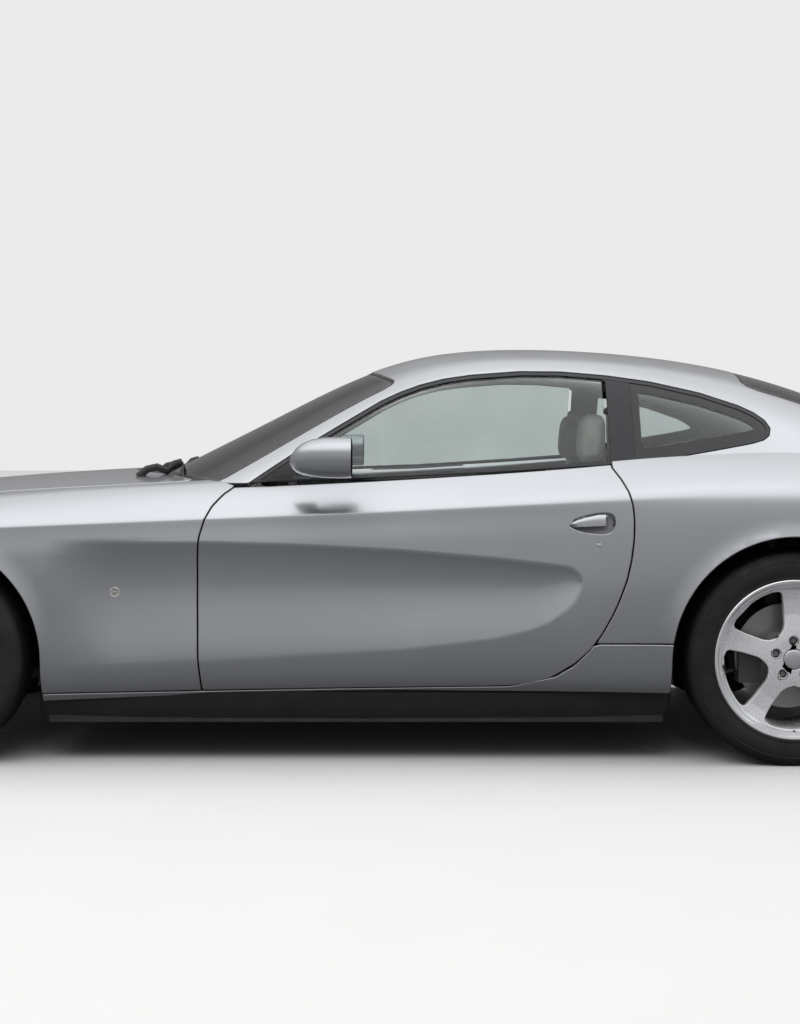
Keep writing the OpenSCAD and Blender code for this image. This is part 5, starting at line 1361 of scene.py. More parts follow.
def tyre_profile(radius, width):
    """A tyre with grooves, as a closed profile of (radius, along)."""
    r, w = radius, -width
    side = [(RIM_R - 3, -14), (RIM_R + 1, -5), (RIM_R + 5, -3), (RIM_R + 9, -4.5), (RIM_R + 14, -3.2),
            (RIM_R + 26, -0.6), (RIM_R + 40, 0),
            (r - 34, -1.2), (r - 31, -2.4), (r - 28, -1.6), (r - 20, -5.0), (r - 12, -10.5), (r - 6, -16.5),
            (r - 3.2, -23), (r - 2.4, -30)]
    other = [(a, w - b) for a, b in side[::-1]]
    grooves = []
    for c in np.linspace(-30 - (width - 60) * 0.22, -30 - (width - 60) * 0.78, GROOVES):
        grooves += [(r - 0.8, c + 7.5), (r - 0.8, c + 5), (r - 8, c + 4), (r - 8, c - 4), (r - 0.8, c - 5),
                    (r - 0.8, c - 7.5)]
    return side + [(r - 0.8, -40)] + grooves + [(r - 0.8, w + 40)] + other + [(RIM_R - 3, w + 16)]


def build_wheels(mats, look):
    face = wheel_face()
    for end, (x0, r0, width) in WHEELS.items():
        place = np.array((x0, FACE_Y, r0))
        rings = lathe([(a, b) for a, b in wheel_rings(width)], 128)
        tyre = lathe(tyre_profile(r0, width), 144)
        cap = lathe([(0.5, -25), (0.5, -17.5), (14, -17.8), (26, -19), (31, -21), (33.5, -24), (33.5, -30), (36, -30),
                     (36, -40), (0.5, -40)][::-1], 48)
        cup = lathe([(15.6, -22), (15.2, -46), (0.4, -46), (0.4, -48), (17.5, -48), (17.5, -22)], 28)
        bolt = hex_bolt()
        valve = tube([(0, -30, -236), (0, -16, -238)], 3.6, 10)
        tread = loft([[(x, y, r0 - drop) for y, drop in TREAD] for x in (-9, 9)])
        inner_tread = outward(np.asarray(tread[0]) * (1, -1, 1) - (0, width, 0), tread[1])
        for side, flip in SIDES:
            body = f"{side}_{end}_wheel"

            def put(shape):
                return np.asarray(shape[0]) + place, shape[1]

            p, f, n = face[0] + place, face[1], face[2]
            if flip:
                p, f, n = mirrored(p, f, n)
            make(f"{body}_face", p, f, mats["alloy"], body, n, slot="alloy", replaces=[body])
            solid(f"{body}_barrel", put(rings), mats["alloy_lip"], body, 28, flip, slot="alloy")
            solid(f"{body}_tyre", put(tyre), mats["tyre"], body, 32, flip, slot="tyre",
                  replaces=[f"{side}_{end}_tyre"])
            solid(f"{body}_cap", put(cap), mats["cap"], body, 30, flip)
            solid(f"{body}_valve", put(valve), mats["black"], body, 40, flip)
            # the bolt pockets' cups are near-black: painted shade in the pockets
            for label, unit, mat in (("sockets", cup, "dark"), ("bolts", bolt, "steel_bolt")):
                moved = (np.asarray(unit[0]) + (0, 0, BOLT_CIRCLE), unit[1])
                repeat(f"{body}_{label}", moved, mats[mat], body, SPOKES, turn=(0, 360 / SPOKES, 0), centre=place,
                       smooth=30, mirror=flip)
            for label, unit in (("tread", tread), ("inner_tread", inner_tread)):
                repeat(f"{body}_{label}", unit, mats["tyre"], body, look.tread_blocks,
                       turn=(0, 360 / look.tread_blocks, 0), centre=place, smooth=30, mirror=flip)


def hex_bolt():
    """A wheel bolt: round collar, six-sided head, dimple."""
    turns = [2 * math.pi * k / 24 for k in range(24)]
    flats = [0.92 / max(math.cos(a % (math.pi / 3) - math.pi / 6), 0.1) for a in turns]

    def ring(r, y, reach=(1,) * 24):
        return [(r * k * math.cos(a), y, r * k * math.sin(a)) for a, k in zip(turns, reach)]

    return loft([ring(12, -47), ring(12, -43), ring(10.5, -42), ring(8.6, -41.5, flats), ring(8.6, -31, flats),
                 ring(7.6, -29.6, flats), ring(4.5, -29.6), ring(4.2, -33)])


# ---- Door handles, side lamps, mirrors ----


HANDLE = [(-676, 799), (-688, 812), (-703, 820), (-736, 830), (-779, 838.6), (-812, 839), (-826, 833), (-834, 820),
          (-836, 806),
          (-833, 790), (-825, 777), (-812, 769), (-786, 766.5), (-736, 771), (-703, 781), (-685, 791)]
# x, z and radius
LOCK = (-778.6, 731.7, 12.0)
SIDE_LAMP = (826.0, 572.0, 16.5)
handle_line = outline(HANDLE)


def lock_line(p):
    return np.hypot(p[:, 0] - LOCK[0], p[:, 2] - LOCK[1]) - LOCK[2]


# A distance that no cut comes near
FAR_OFF = 50


def crease_cuts(patch):
    """Sets rows of points close to each side of the hollow's crease, so that it stays crisp."""
    edge = outline(HOLLOW_TOP + HOLLOW_LOW[::-1])
    for off in (0, 8, -8):
        patch.cut(lambda p, off=off: edge(p) - off, keep_both=True)
    return shoulder_cuts(patch)


def shoulder_cuts(patch):
    """The same along the shoulder crease, as far as it reaches."""
    for off in (0, 6, -6):
        patch.cut(lambda p, off=off: np.where(lookup(p[:, 0], SHOULDER_FADE) > 0,
                                              p[:, 2] - lookup(p[:, 0], SHOULDER) - off, FAR_OFF), keep_both=True)
    return patch


def pushed_panel(name, patch, push, mat, body, depth, roll, flip, **extra):
    """A panel whose skin is pushed out by push(points), with normals from its own triangles."""
    patch.tidy()
    x, n = patch.xyz(), patch.normals()
    x = x + push(x)[:, None] * n
    own = triangle_normals(x, patch.t)
    own = np.where(((own * n).sum(1) < 0)[:, None], -own, own)
    points, faces, normals = thick(x, own, patch.t, roll, depth)
    if flip:
        points, faces, normals = mirrored(points, faces, normals)
    return make(name, points, faces, mat, body, normals, **extra)


def side_lamp_line(p):
    return np.hypot(p[:, 0] - SIDE_LAMP[0], p[:, 2] - SIDE_LAMP[1]) - SIDE_LAMP[2]


def handle_dome(x):
    """The flap's rounded face."""
    d = np.maximum(-4.5 - handle_line(x), 0)
    t = np.clip(d / np.interp(x[:, 0], (-800, -690), (29, 8)), 0, 1)
    return -4 + 9.5 * np.sqrt(1 - (1 - t)**2)


def build_handles(mats):
    def grip():
        return Patch(body_sheet, (13.0, 14.4), (5.6, 8), (90, 40))

    def key():
        return Patch(body_sheet, (13.4, 14.2), (4.6, 7), (120, 60))

    def lamp():
        return Patch(body_sheet, (6.6, 8.2), (2.6, 5.8), (60, 36))

    for side, flip in SIDES:
        # name, patch, cuts, how far its skin is pushed out, material, body, thickness, roll
        for label, area, cuts, push, mat, body, depth, roll in (
                ("handle_cup", grip, (lambda p: handle_line(p) - 1.5,),
                 lambda x: -3 - 17 * (1 - np.exp(-np.maximum(-handle_line(x), 0) / 7)), "paint", "door", 2, 0.5),
                ("handle_flap", grip, (lambda p: handle_line(p) + 4.5, past(0, -801)), handle_dome, "paint", "door",
                 5, 1.5),
                ("key_lock", key, (lock_line,), lambda x: -1.5 + 0 * x[:, 0], "black", "door", 4, 0.8),
                ("key_plug", key, (lambda p: lock_line(p) + 5,),
                 lambda x: 0.5 + 2.0 * np.clip(-lock_line(x) / LOCK[2] - 0.5, 0, 1), "chrome", "door", 3, 1),
                ("side_lamp_ring", lamp, (side_lamp_line, lambda p: -5 - side_lamp_line(p)),
                 lambda x: 1.0 + 0 * x[:, 0], "chrome", "body", 3, 1.2),
                ("side_lamp", lamp, (lambda p: side_lamp_line(p) + 5,),
                 lambda x: 0.2 + 1.5 * np.clip(-side_lamp_line(x) / 16, 0, 1), "clear_core", "body", 3, 0.6)):
            riding = f"{side}_door" if body == "door" else body
            pushed_panel(f"{side}_{label}", area().cuts(*cuts), push, mats[mat], riding, depth, roll, flip)


MIRROR = (140.0, 984.0, 1022.0)


def build_mirrors(mats):
    x0, y0, z0 = MIRROR

    def around(dx, ky, kz, dy=0, drop=0):
        return oval((x0 + dx, y0 + dy, z0 - drop), (102 * ky, 66 * kz), 2.9, 40)

    shell = [around(dx, ky, kz, 6 * (1 - ky), drop) for dx, ky, kz, drop in (
        (-101, 0.93, 0.90, 0), (-103.5, 0.97, 0.95, 0), (-103, 1, 0.99, 0), (-98, 1.015, 1.01, 0),
        (-60, 1.02, 1.02, 0),
        (-15, 0.99, 1.0, 0), (25, 0.90, 0.93, 1), (55, 0.76, 0.80, 4), (76, 0.58, 0.62, 8), (89, 0.40, 0.42, 11),
        (96, 0.22, 0.22, 13), (98, 0.06, 0.06, 14))]
    rim = loft([around(-84, 0.88, 0.85), around(-101, 0.90, 0.87), *shell[:3]])
    glass = loft([around(-95.5, 0.84, 0.80), around(-94, 0.85, 0.81), around(-88, 0.85, 0.81)])
    foot = loft([oval(centre, half, 2.2, 20, (0, 2)) for centre, half in (
        ((205, 868, 957), (34, 8)), ((196, 890, 962), (38, 10)), ((180, 915, 968), (42, 12)),
        ((165, 940, 976), (46, 14)), ((158, 962, 984), (46, 14)))])
    for side, flip in SIDES:
        body = f"{side}_door"
        solid(f"{side}_mirror_shell", loft(shell[2:]), mats["paint"], body, 40, flip, slot="silver_paint",
              replaces=[f"{side}_mirror"])
        solid(f"{side}_mirror_rim", rim, mats["black"], body, 30, flip)
        solid(f"{side}_mirror_glass", glass, mats["mirror"], body, 30, flip)
        solid(f"{side}_mirror_foot", foot, mats["black"], body, 40, flip)


# ---- Nose, tail and cowl ----


# Place and radius of the eyes in a headlamp, and how far they look outwards, in degrees
HEAD_EYES = ((2150, 640, 672, 42), (2060, 720, 700, 34), (1985, 775, 722, 24))
EYE_TURN = 18
# Half width, foot and height of the mesh in the front opening
MESH_HALF, MESH_LOW, MESH_RISE = 408, 322, 192


def build_ends(mats, look):
    tail = tree_of(body_sheet, (17, 27.4), (3, 11), (10, 6))
    for side, flip in SIDES:
        lamp, bowl = (Patch(body_sheet, (1.4, 5.2), (4.4, 9.8), (40, 20)).cuts(lambda p: lamp_line(p) + off,
                past(2, LAMP_LOW + 3))
                      for off in (2.4, 1.5))
        sunk_panel(f"{side}_headlamp_lens", lamp, mats["clear"], "body", 0.5, 3.5, 1.2, flip, slot="lamp_glass",
                   replaces=["headlamps"])
        sunk_panel(f"{side}_headlamp_bowl", bowl, mats["lamp_dark"], "body", 34, 3, 1, flip)
        for k, (x, y, z, r) in enumerate(HEAD_EYES):
            ring = lathe([(r, 0), (r, -6), (r - 3, 3), (r - 9, -8), (r * 0.45, -26), (r * 0.42, -30), (r + 1, -30),
                          (r + 2, 0)][::-1], 40, axis="X")
            eye = lathe([(0.5, -30), (0.5, -5), (r * 0.22, -6.5), (r * 0.36, -11), (r * 0.42, -18),
                         (r * 0.42, -30)][::-1], 32, axis="X")
            turn = np.array(Matrix.Rotation(math.radians(EYE_TURN), 3, "Z"))
            for label, shape, mat in (("ring", ring, "chrome"), ("eye", eye, "projector")):
                p = np.asarray(shape[0]) @ turn.T + (x - 10, y, z)
                solid(f"{side}_headlamp_{label}_{k}", (p, shape[1]), mats[mat], "body", 30, flip)
        for k, (y, z) in enumerate(TAIL_LAMPS):
            face = lathe([(0.5, 9), (14, 8.6), (28, 7), (42, 4), (52, 0), (54.5, -4), (55, -12), (0.5, -12)][::-1],
                         56, axis="X")
            ringed = lathe([(55.2, -2), (57, 2.2), (60, 2.2), (61.5, -1), (61, -14), (55.2, -14)][::-1], 56, axis="X")
            place, n = tail_place(tail, y, z)
            for label, shape, mat in (("lens", face, "red"), ("bezel", ringed, "chrome")):
                p = aim(np.asarray(shape[0]), n) + place
                extra = dict(slot="lamp_red", replaces=["tail_lamps"]) if label == "lens" else {}
                solid(f"{side}_tail_lamp_{label}_{k}", (p, shape[1]), mats[mat], "body", 30, flip, **extra)
            core = lathe([(0.5, 11.5), (10, 11), (19, 8.8), (21, 6), (21, 2), (0.5, 2)][::-1], 40, axis="X")
            solid(f"{side}_tail_lamp_core_{k}", (aim(np.asarray(core[0]), n) + place, core[1]), mats["clear_core"],
                  "body", 30, flip)
    # grille: a mesh of thin bars, repeated
    bar = tube([(0, -MESH_HALF, 0), (0, MESH_HALF, 0)], 2.2, 8)
    repeat("grille_bars", bar, mats["black_gloss"], "body", look.grille_bars,
           step=(-0.8, 0, MESH_RISE / (look.grille_bars - 1)), centre=(2309, 0, MESH_LOW), smooth=40,
           replaces=["grille"])
    post = tube([(0, 0, 0), (-10, 0, MESH_RISE)], 1.8, 8)
    repeat("grille_posts", post, mats["black_gloss"], "body", look.grille_posts,
           step=(0, 2 * MESH_HALF / (look.grille_posts - 1), 0), centre=(2305, -MESH_HALF, MESH_LOW), smooth=40)
    for side, flip in SIDES:
        for k, y in enumerate(TIPS[0]):
            tip = lathe([(41.5, 0), (42, -4), (42, -200), (38, -200), (38, -14), (38.8, -2)][::-1], 56, axis="X")
            p = np.asarray(tip[0]) * (-1, 1, 1) + (-2408, y, TIPS[1])
            solid(f"{side}_exhaust_tip_{k}", outward(p, tip[1]), mats["chrome"], "body", 30, flip)
    # cowl, and two wipers at rest
    cowl = Patch(body_sheet, (7.3, 9.7), (8.2, 13.8), (40, 24)).cuts(
        lambda p: np.maximum(np.abs(p[:, 1]) - 688, np.maximum(500 - p[:, 0], p[:, 0] - 884)), outside(hood_line, 5),
        lambda p: 6 - screen_line(p))
    sunk_panel("cowl_grille", cowl, mats["black"], "body", 9, 8, 2, slot="black_plastic", replaces=["cowl_panel"])
    wipers(mats)


FAR_BEHIND = -4


def tail_place(tree, y, z):
    """Where the tail's skin lies at y and z, and the way it faces."""
    hit, n = tree.ray_cast(Vector((FAR_BEHIND, y * MM, z * MM)), Vector((1, 0, 0)))[:2]
    if hit is None:
        raise RuntimeError("a tail lamp lies outside the tail")
    return (hit.x / MM, y, z), np.array(-n if n.x > 0 else n)


def aim(p, n):
    """Turns points made along +X to look along n."""
    q = Vector((1, 0, 0)).rotation_difference(Vector(n)).to_matrix()
    return p @ np.array(q).T


# Height of the wipers where no glass lies under them, and their least height
COWL_TOP, COWL_LOW = 900.0, 880
# Pivot, tip and bend of each blade in plan, and where its motor cover lies
WIPERS = (((640, 560), (700, 60), (672, 330), 470), ((742, -60), (662, -560), (720, -330), -90))


def wipers(mats):
    """Two arms and blades that lie across the bottom of the windscreen."""
    dome = tree_of(dome_sheet, (0, 13), (-1, 13), (8, 6))
    for k, (pivot, tip, mid, y) in enumerate(WIPERS):
        path = []
        for t in np.linspace(0, 1, 15):
            q = [(1 - t)**2 * pivot[i] + 2 * t * (1 - t) * mid[i] + t * t * tip[i] for i in (0, 1)]
            hit = drop_on(dome, *q)
            path.append((*q, max(hit.z / MM if hit else COWL_TOP, COWL_LOW) + 14 - 6 * t))
        arm = tube(path[:9], 5.5, 10)
        blade = tube(path[4:], 3.6, 8)
        lip = tube([(x, y, z - 7) for x, y, z in path[4:]], 2.2, 6)
        cap = lathe([(0.5, 30), (10, 29), (14, 24), (15, 0), (0.5, 0)][::-1], 24,
                    centre=path[0][:2] + (path[0][2] - 22,), axis="Z")
        solid(f"wiper_arm_{k}", outward(*arm), mats["black"], "body", 40)
        solid(f"wiper_blade_{k}", outward(*blade), mats["black"], "body", 40)
        solid(f"wiper_lip_{k}", outward(*lip), mats["seal"], "body", 40)
        solid(f"wiper_cap_{k}", outward(*cap), mats["black"], "body", 30)
        head = tube([(806, y + 20, 946), (776, y + 10, 972), (742, y, 980), (706, y - 4, 966), (682, y - 16, 990),
                     (660, y - 30, 996)], 14, 12)
        solid(f"wiper_head_{k}", outward(*head), mats["black"], "body", 40)


# ---- Below the doors ----


def build_skirts(mats):
    """The black skirt under each sill, narrower towards the ground."""
    xs = [-1026, -1018, -1000, -700, 0, 700, 1052, 1074, 1084]
    ks = [0.2, 0.7, 1, 1, 1, 1, 1, 0.7, 0.2]
    rings = []
    for x, k in zip(xs, ks):
        y = 862 - 4 * ((x - 20) / 1000)**2
        top, low = 236, 236 - 96 * k
        rings.append([(x, y - 60, top), (x, y + 4, top), (x, y - 2, (top + low) / 2 + 12), (x, y - 14, low + 10),
                      (x, y - 20, low), (x, y - 60, low)])
    for side, flip in SIDES:
        solid(f"{side}_sill_skirt", loft(rings), mats["black"], "body", 24, flip)
# ---- Cabin ----

# Rear end and middle of a front seat
SEAT_X, SEAT_Y = -720.0, 375.0


def pad(stations, axes, power=3.2, count=32):
    """A stuffed shape through stations of (centre, half sizes)."""
    return loft([oval(c, h, power, count, axes) for c, h in stations])


# Pressure in a cushion's cover, and how long it blows
PRESSURE, BLOW_FRAMES = 4, 20


def puff(shape, swell=7.0, voxel=10.0):
    """Evens out a cover's mesh, blows it up a little and holds each point within swell mm of its start."""
    scene = bpy.context.scene
    me = bpy.data.meshes.new("cover")
    me.from_pydata((np.asarray(shape[0], float) * MM).tolist(), [], [list(f) for f in shape[1]])
    o = bpy.data.objects.new("cover", me)
    scene.collection.objects.link(o)

    def evaluated():
        bpy.context.view_layer.update()
        return bpy.data.meshes.new_from_object(o.evaluated_get(bpy.context.evaluated_depsgraph_get()))

    even = o.modifiers.new("even", "REMESH")
    even.mode, even.voxel_size = "VOXEL", voxel * MM
    o.data = evaluated()
    o.modifiers.remove(even)
    start = mesh_points(o)
    cloth = o.modifiers.new("cover", "CLOTH")
    cover = cloth.settings
    cover.quality, cover.mass = 4, 0.3
    cover.use_pressure, cover.uniform_pressure_force = True, PRESSURE
    cover.effector_weights.gravity = 0
    cloth.point_cache.frame_start, cloth.point_cache.frame_end = 1, BLOW_FRAMES
    for f in range(1, BLOW_FRAMES + 1):
        scene.frame_set(f)
    blown = evaluated()
    o.modifiers.remove(cloth)
    scene.frame_set(1)
    o.data = blown
    move = mesh_points(o) - start
    far = np.linalg.norm(move, axis=1)[:, None]
    place = start + move * np.minimum(1, swell / np.maximum(far, 1e-6))
    blown.vertices.foreach_set("co", (place * MM).ravel())
    points, faces = mesh_points(o), [tuple(f.vertices) for f in o.data.polygons]
    bpy.data.objects.remove(o)
    return points, faces


def stuffed(name, shape, mat, flip=False, replaces=()):
    """A padded piece from a puffed shape."""
    o = solid(name, shape, mat, "body", 180, flip, slot="leather", replaces=replaces)
    return o


def rounded_ring(points, rounds=2, per_edge=3):
    """Cuts the corners of a closed profile."""
    p = np.array(points, float)
    fine = []
    for a, b in zip(p, np.roll(p, -1, 0)):
        fine += [a + (b - a) * k / per_edge for k in range(per_edge)]
    p = np.array(fine)
    for _ in range(rounds):
        nxt = np.roll(p, -1, 0)
        p = np.stack([p * 0.75 + nxt * 0.25, p * 0.25 + nxt * 0.75], 1).reshape(-1, 2)
    return p


def build_front_seats(mats):
    x0, y0 = SEAT_X, SEAT_Y

    def base(y, half, low, high, ends=(128, 676)):
        a, b = ends
        mid = (low + high) / 2
        run = ((a, 0.5), (a + 8, 0.8), (a + 26, 1), (a + 180, 1), (a + 340, 1), (b - 60, 1.02), (b - 24, 0.96),
               (b - 8, 0.78), (b, 0.5))
        return pad([((x0 + x, y0 + y, mid + (x - a) * 0.035), (half * (0.9 + 0.1 * k), (high - low) / 2 * k)) for x,
                    k in run], (1, 2))

    def back(y, half, thick_x, lean=(118, 412, -58, 962)):
        xa, za, xb, zb = lean
        run = ((0, 0.5), (0.015, 0.8), (0.05, 1), (0.3, 1.02), (0.6, 1), (0.85, 0.98), (0.95, 0.9), (0.985, 0.7),
               (1, 0.45))
        return pad([((x0 + xa + (xb - xa) * t, y0 + y, za + (zb - za) * t), (thick_x * k, half * (0.88 + 0.12 * k)))
                    for t, k in run], (0, 1))

    shapes = {
        "seat_cushion": (puff(base(0, 152, 318, 408)), 0.6),
        "seat_bolster_outer": (puff(base(197, 46, 322, 432)), 0.7),
        "seat_bolster_inner": (puff(base(-197, 46, 322, 432)), 0.7),
        "seat_back": (puff(back(0, 150, 46)), 0.6),
        "seat_back_bolster_outer": (puff(back(196, 46, 66)), 0.7),
        "seat_back_bolster_inner": (puff(back(-196, 46, 66)), 0.7),
        "headrest": (puff(pad([((x0 - 84 - (z - 1000) * 0.06, y0, z), (46 * k, 122 * k)) for z, k in
                               ((1002, 0.55), (1006, 0.8), (1022, 0.97), (1060, 1), (1110, 0.99), (1145, 0.9),
                                (1160, 0.72), (1166, 0.5))],
                              (0, 1))), 0.7),
    }
    shell = pad([((x0 + x, y0, z), (hx, hy)) for x, z, hx, hy in
                 ((70, 322, 18, 200), (62, 340, 30, 222), (20, 480, 34, 232), (-50, 700, 34, 236),
                  (-104, 900, 30, 228), (-122, 950, 22, 206),
                  (-128, 962, 10, 180))], (0, 1))
    frame = join(block((x0 + 60, y0 - 190, 236), (x0 + 640, y0 + 190, 316), 14),
                 *[block((x0 + 20, y0 + k * 170 - 16, 162), (x0 + 620, y0 + k * 170 + 16, 240), 5) for k in (-1, 1)])
    posts = join(*[tube([(x0 - 74, y0 + k * 52, 940), (x0 - 80, y0 + k * 52, 1020)], 6, 12) for k in (-1, 1)])
    piping = join(*[tube([(x0 + a, y0 + k * 152, z) for a,
                          z in ((128, 372), (150, 398), (300, 412), (480, 418), (620, 424), (668, 398))], 3, 8)
                    for k in (-1, 1)],
                  *[tube([(x0 + 118 + 40 - 176 * t, y0 + k * 150, 412 + 550 * t) for t in np.linspace(0.04, 0.95, 8)],
                         3, 8) for k in (-1, 1)])
    for side, flip in SIDES:
        for label, (shape, fill) in shapes.items():
            stuffed(f"{side}_{label}", shape, mats["leather"], flip,
                    [f"{side}_seat"] if label == "seat_cushion" else [])
        solid(f"{side}_seat_shell", shell, mats["leather_dark"], "body", 50, flip)
        solid(f"{side}_seat_frame", frame, mats["black"], "body", 30, flip)
        solid(f"{side}_headrest_posts", posts, mats["chrome"], "body", 40, flip)
        solid(f"{side}_seat_piping", piping, mats["leather_dark"], "body", 60, flip)
        belt = [(-862, 712, 430), (-858, 716, 700), (-856, 700, 960), (-852, 672, 1160), (-850, 668, 1180)]
        strap = loft([[(x + 23, y - 1, z), (x + 23, y + 1, z), (x - 23, y + 1, z), (x - 23, y - 1, z)] for x, y,
                      z in belt])
        solid(f"{side}_seat_belt", strap, mats["belt"], "body", 30, flip)
        ring = pad([((-851, 668 + dy, 1176), (30 * k, 16 * k)) for dy, k in ((-5, 0.8), (-3, 1), (3, 1), (5, 0.8))],
                   (0, 2), 2.4)
        solid(f"{side}_belt_guide", ring, mats["leather_dark"], "body", 40, flip)


def build_rear_seat(mats):
    run = ((0, 0.5), (0.02, 0.8), (0.07, 1), (0.5, 1), (0.9, 1), (0.97, 0.8), (1, 0.5))
    cushion = puff(pad([((-940 - 268 * t, 218, 372 - 18 * t), (196 * (0.9 + 0.1 * k), 58 * k)) for t, k in run],
                       (1, 2)))
    back = puff(pad([((-1232 - 92 * t, 218, 420 + 440 * t), (44 * k, 196 * (0.88 + 0.12 * k))) for t, k in run],
                    (0, 1)))
    for side, flip in SIDES:
        stuffed(f"{side}_rear_cushion", cushion, mats["leather"], flip, ["rear_seat"] if not flip else [])
        stuffed(f"{side}_rear_back", back, mats["leather"], flip)
        # trim over the wheel arch, beside the rear seat
        rest = pad([((x, 640, 800), (hy, hz)) for x, hy, hz in
                    ((-922, 170, 8), (-930, 186, 13), (-1100, 190, 15), (-1400, 190, 15), (-1540, 178, 12),
                     (-1548, 160, 7))], (1, 2), 6)
        wall = block((-1540, 440, 302), (-936, 449, 806), 3)
        solid(f"{side}_rear_side_trim", join(rest, wall), mats["leather_dark"], "body", 40, flip)
    shelf = pad([((x, 0, 884), (hy, 7)) for x,
                 hy in ((-1400, 500), (-1410, 540), (-1600, 560), (-1800, 545), (-1880, 500))], (1, 2), 8, 40)
    solid("parcel_shelf", shelf, mats["carpet"], "body", 40)


def build_dashboard(mats):
    ring = rounded_ring([(688, 600), (688, 838), (600, 882), (470, 888), (424, 868), (400, 800), (424, 702),
                         (500, 642), (560, 560)])
    rings = []
    for y in (-688, -684, -670, -500, -250, -120, 120, 250, 500, 670, 684, 688):
        k = 1 - 0.10 * max(0, (abs(y) - 668) / 20)
        c = np.array((560.0, 740.0))
        rings.append([(c[0] + (x - c[0]) * k, y, c[1] + (z - c[1]) * k) for x, z in ring])
    solid("dashboard_skin", loft(rings), mats["dash"], "body", 60, replaces=["dashboard"])
    hood_ring = lambda x, k: [(x, SEAT_Y + 150 * k * math.cos(a), 868 + 48 * k * max(math.sin(a), -0.2))
                              for a in np.linspace(0, 2 * math.pi, 28, endpoint=False)]
    solid("instrument_hood", loft([hood_ring(640, 0.5), hood_ring(600, 0.8), hood_ring(520, 1), hood_ring(440, 1.02),
                                   hood_ring(428, 0.97)]),
          mats["dash"], "body", 50)
    solid("instrument_glass", loft([hood_ring(429, 0.88), hood_ring(424, 0.86)]), mats["black_gloss"], "body", 50)
    screen = pad([((x, 0, 834), (110 * k, 40 * k)) for x, k in ((430, 0.97), (424, 1), (408, 1), (402, 0.96))],
                 (1, 2), 8, 40)
    solid("centre_screen", screen, mats["black_gloss"], "body", 40)
    for k, y in enumerate((-620, -175, 175, 620)):
        vent = lathe([(0.5, 10), (8, 12), (11, 6), (32, 6), (38, 14), (42, 8), (42, -6), (0.5, -6)][::-1], 32,
                     axis="X")
        solid(f"air_vent_{k}", outward(np.asarray(vent[0]) * (-1, 1, 1) + (414, y, 770), vent[1]), mats["chrome"],
              "body", 30)
    console = pad([((x, 0, z), (92 * k, h * k)) for x, z, h, k in
                   ((-146, 390, 60, 0.7), (-140, 390, 62, 0.95), (-90, 430, 100, 1), (60, 420, 90, 1),
                    (260, 430, 96, 1), (430, 470, 130, 1),
                    (500, 490, 136, 0.96), (512, 490, 120, 0.8))], (1, 2), 5, 40)
    solid("centre_console", console, mats["dash"], "body", 50)
    lever = join(lathe([(0.5, 52), (14, 50), (19, 40), (17, 22), (9, 12), (9, -26), (0.5, -26)][::-1], 28,
                       centre=(210, 0, 560), axis="Z"),
                 pad([((210, 0, z), (46 * k, 34 * k)) for z, k in ((520, 1), (532, 0.9), (540, 0.5), (545, 0.2))],
                     (0, 1), 2.6))
    solid("gear_lever", lever, mats["leather_dark"], "body", 40)
    for side, flip in SIDES:
        mat_shape = pad([((x, 420, 168), (hy, 6)) for x,
                         hy in ((-620, 250), (-612, 275), (0, 285), (560, 268), (668, 210), (676, 180))], (1, 2), 7,
                         40)
        solid(f"{side}_floor_carpet", mat_shape, mats["carpet"], "body", 40, flip)
    for k, (y, w) in enumerate(((300, 34), (390, 30))):
        pedal = join(block((606, y - w, 250), (618, y + w, 330), 4),
                     tube([(612, y, 320), (640, y, 420), (680, y, 560)], 7, 8))
        solid(f"pedal_{k}", pedal, mats["black"], "body", 40)
    glass = pad([((x, 0, 1196), (104 * k, 34 * k)) for x,
                 k in ((140, 0.9), (144, 1), (156, 0.98), (166, 0.7), (170, 0.3))], (1, 2), 3, 36)
    solid("inner_mirror", join(glass, tube([(162, 0, 1200), (186, 0, 1214), (198, 0, 1218)], 7, 10)), mats["black"],
          "body", 40)


# Where the lids turn, on the left
BOOT_PIN, HOOD_PIN = (-2033, 350, 982), (2190, 150, 767)


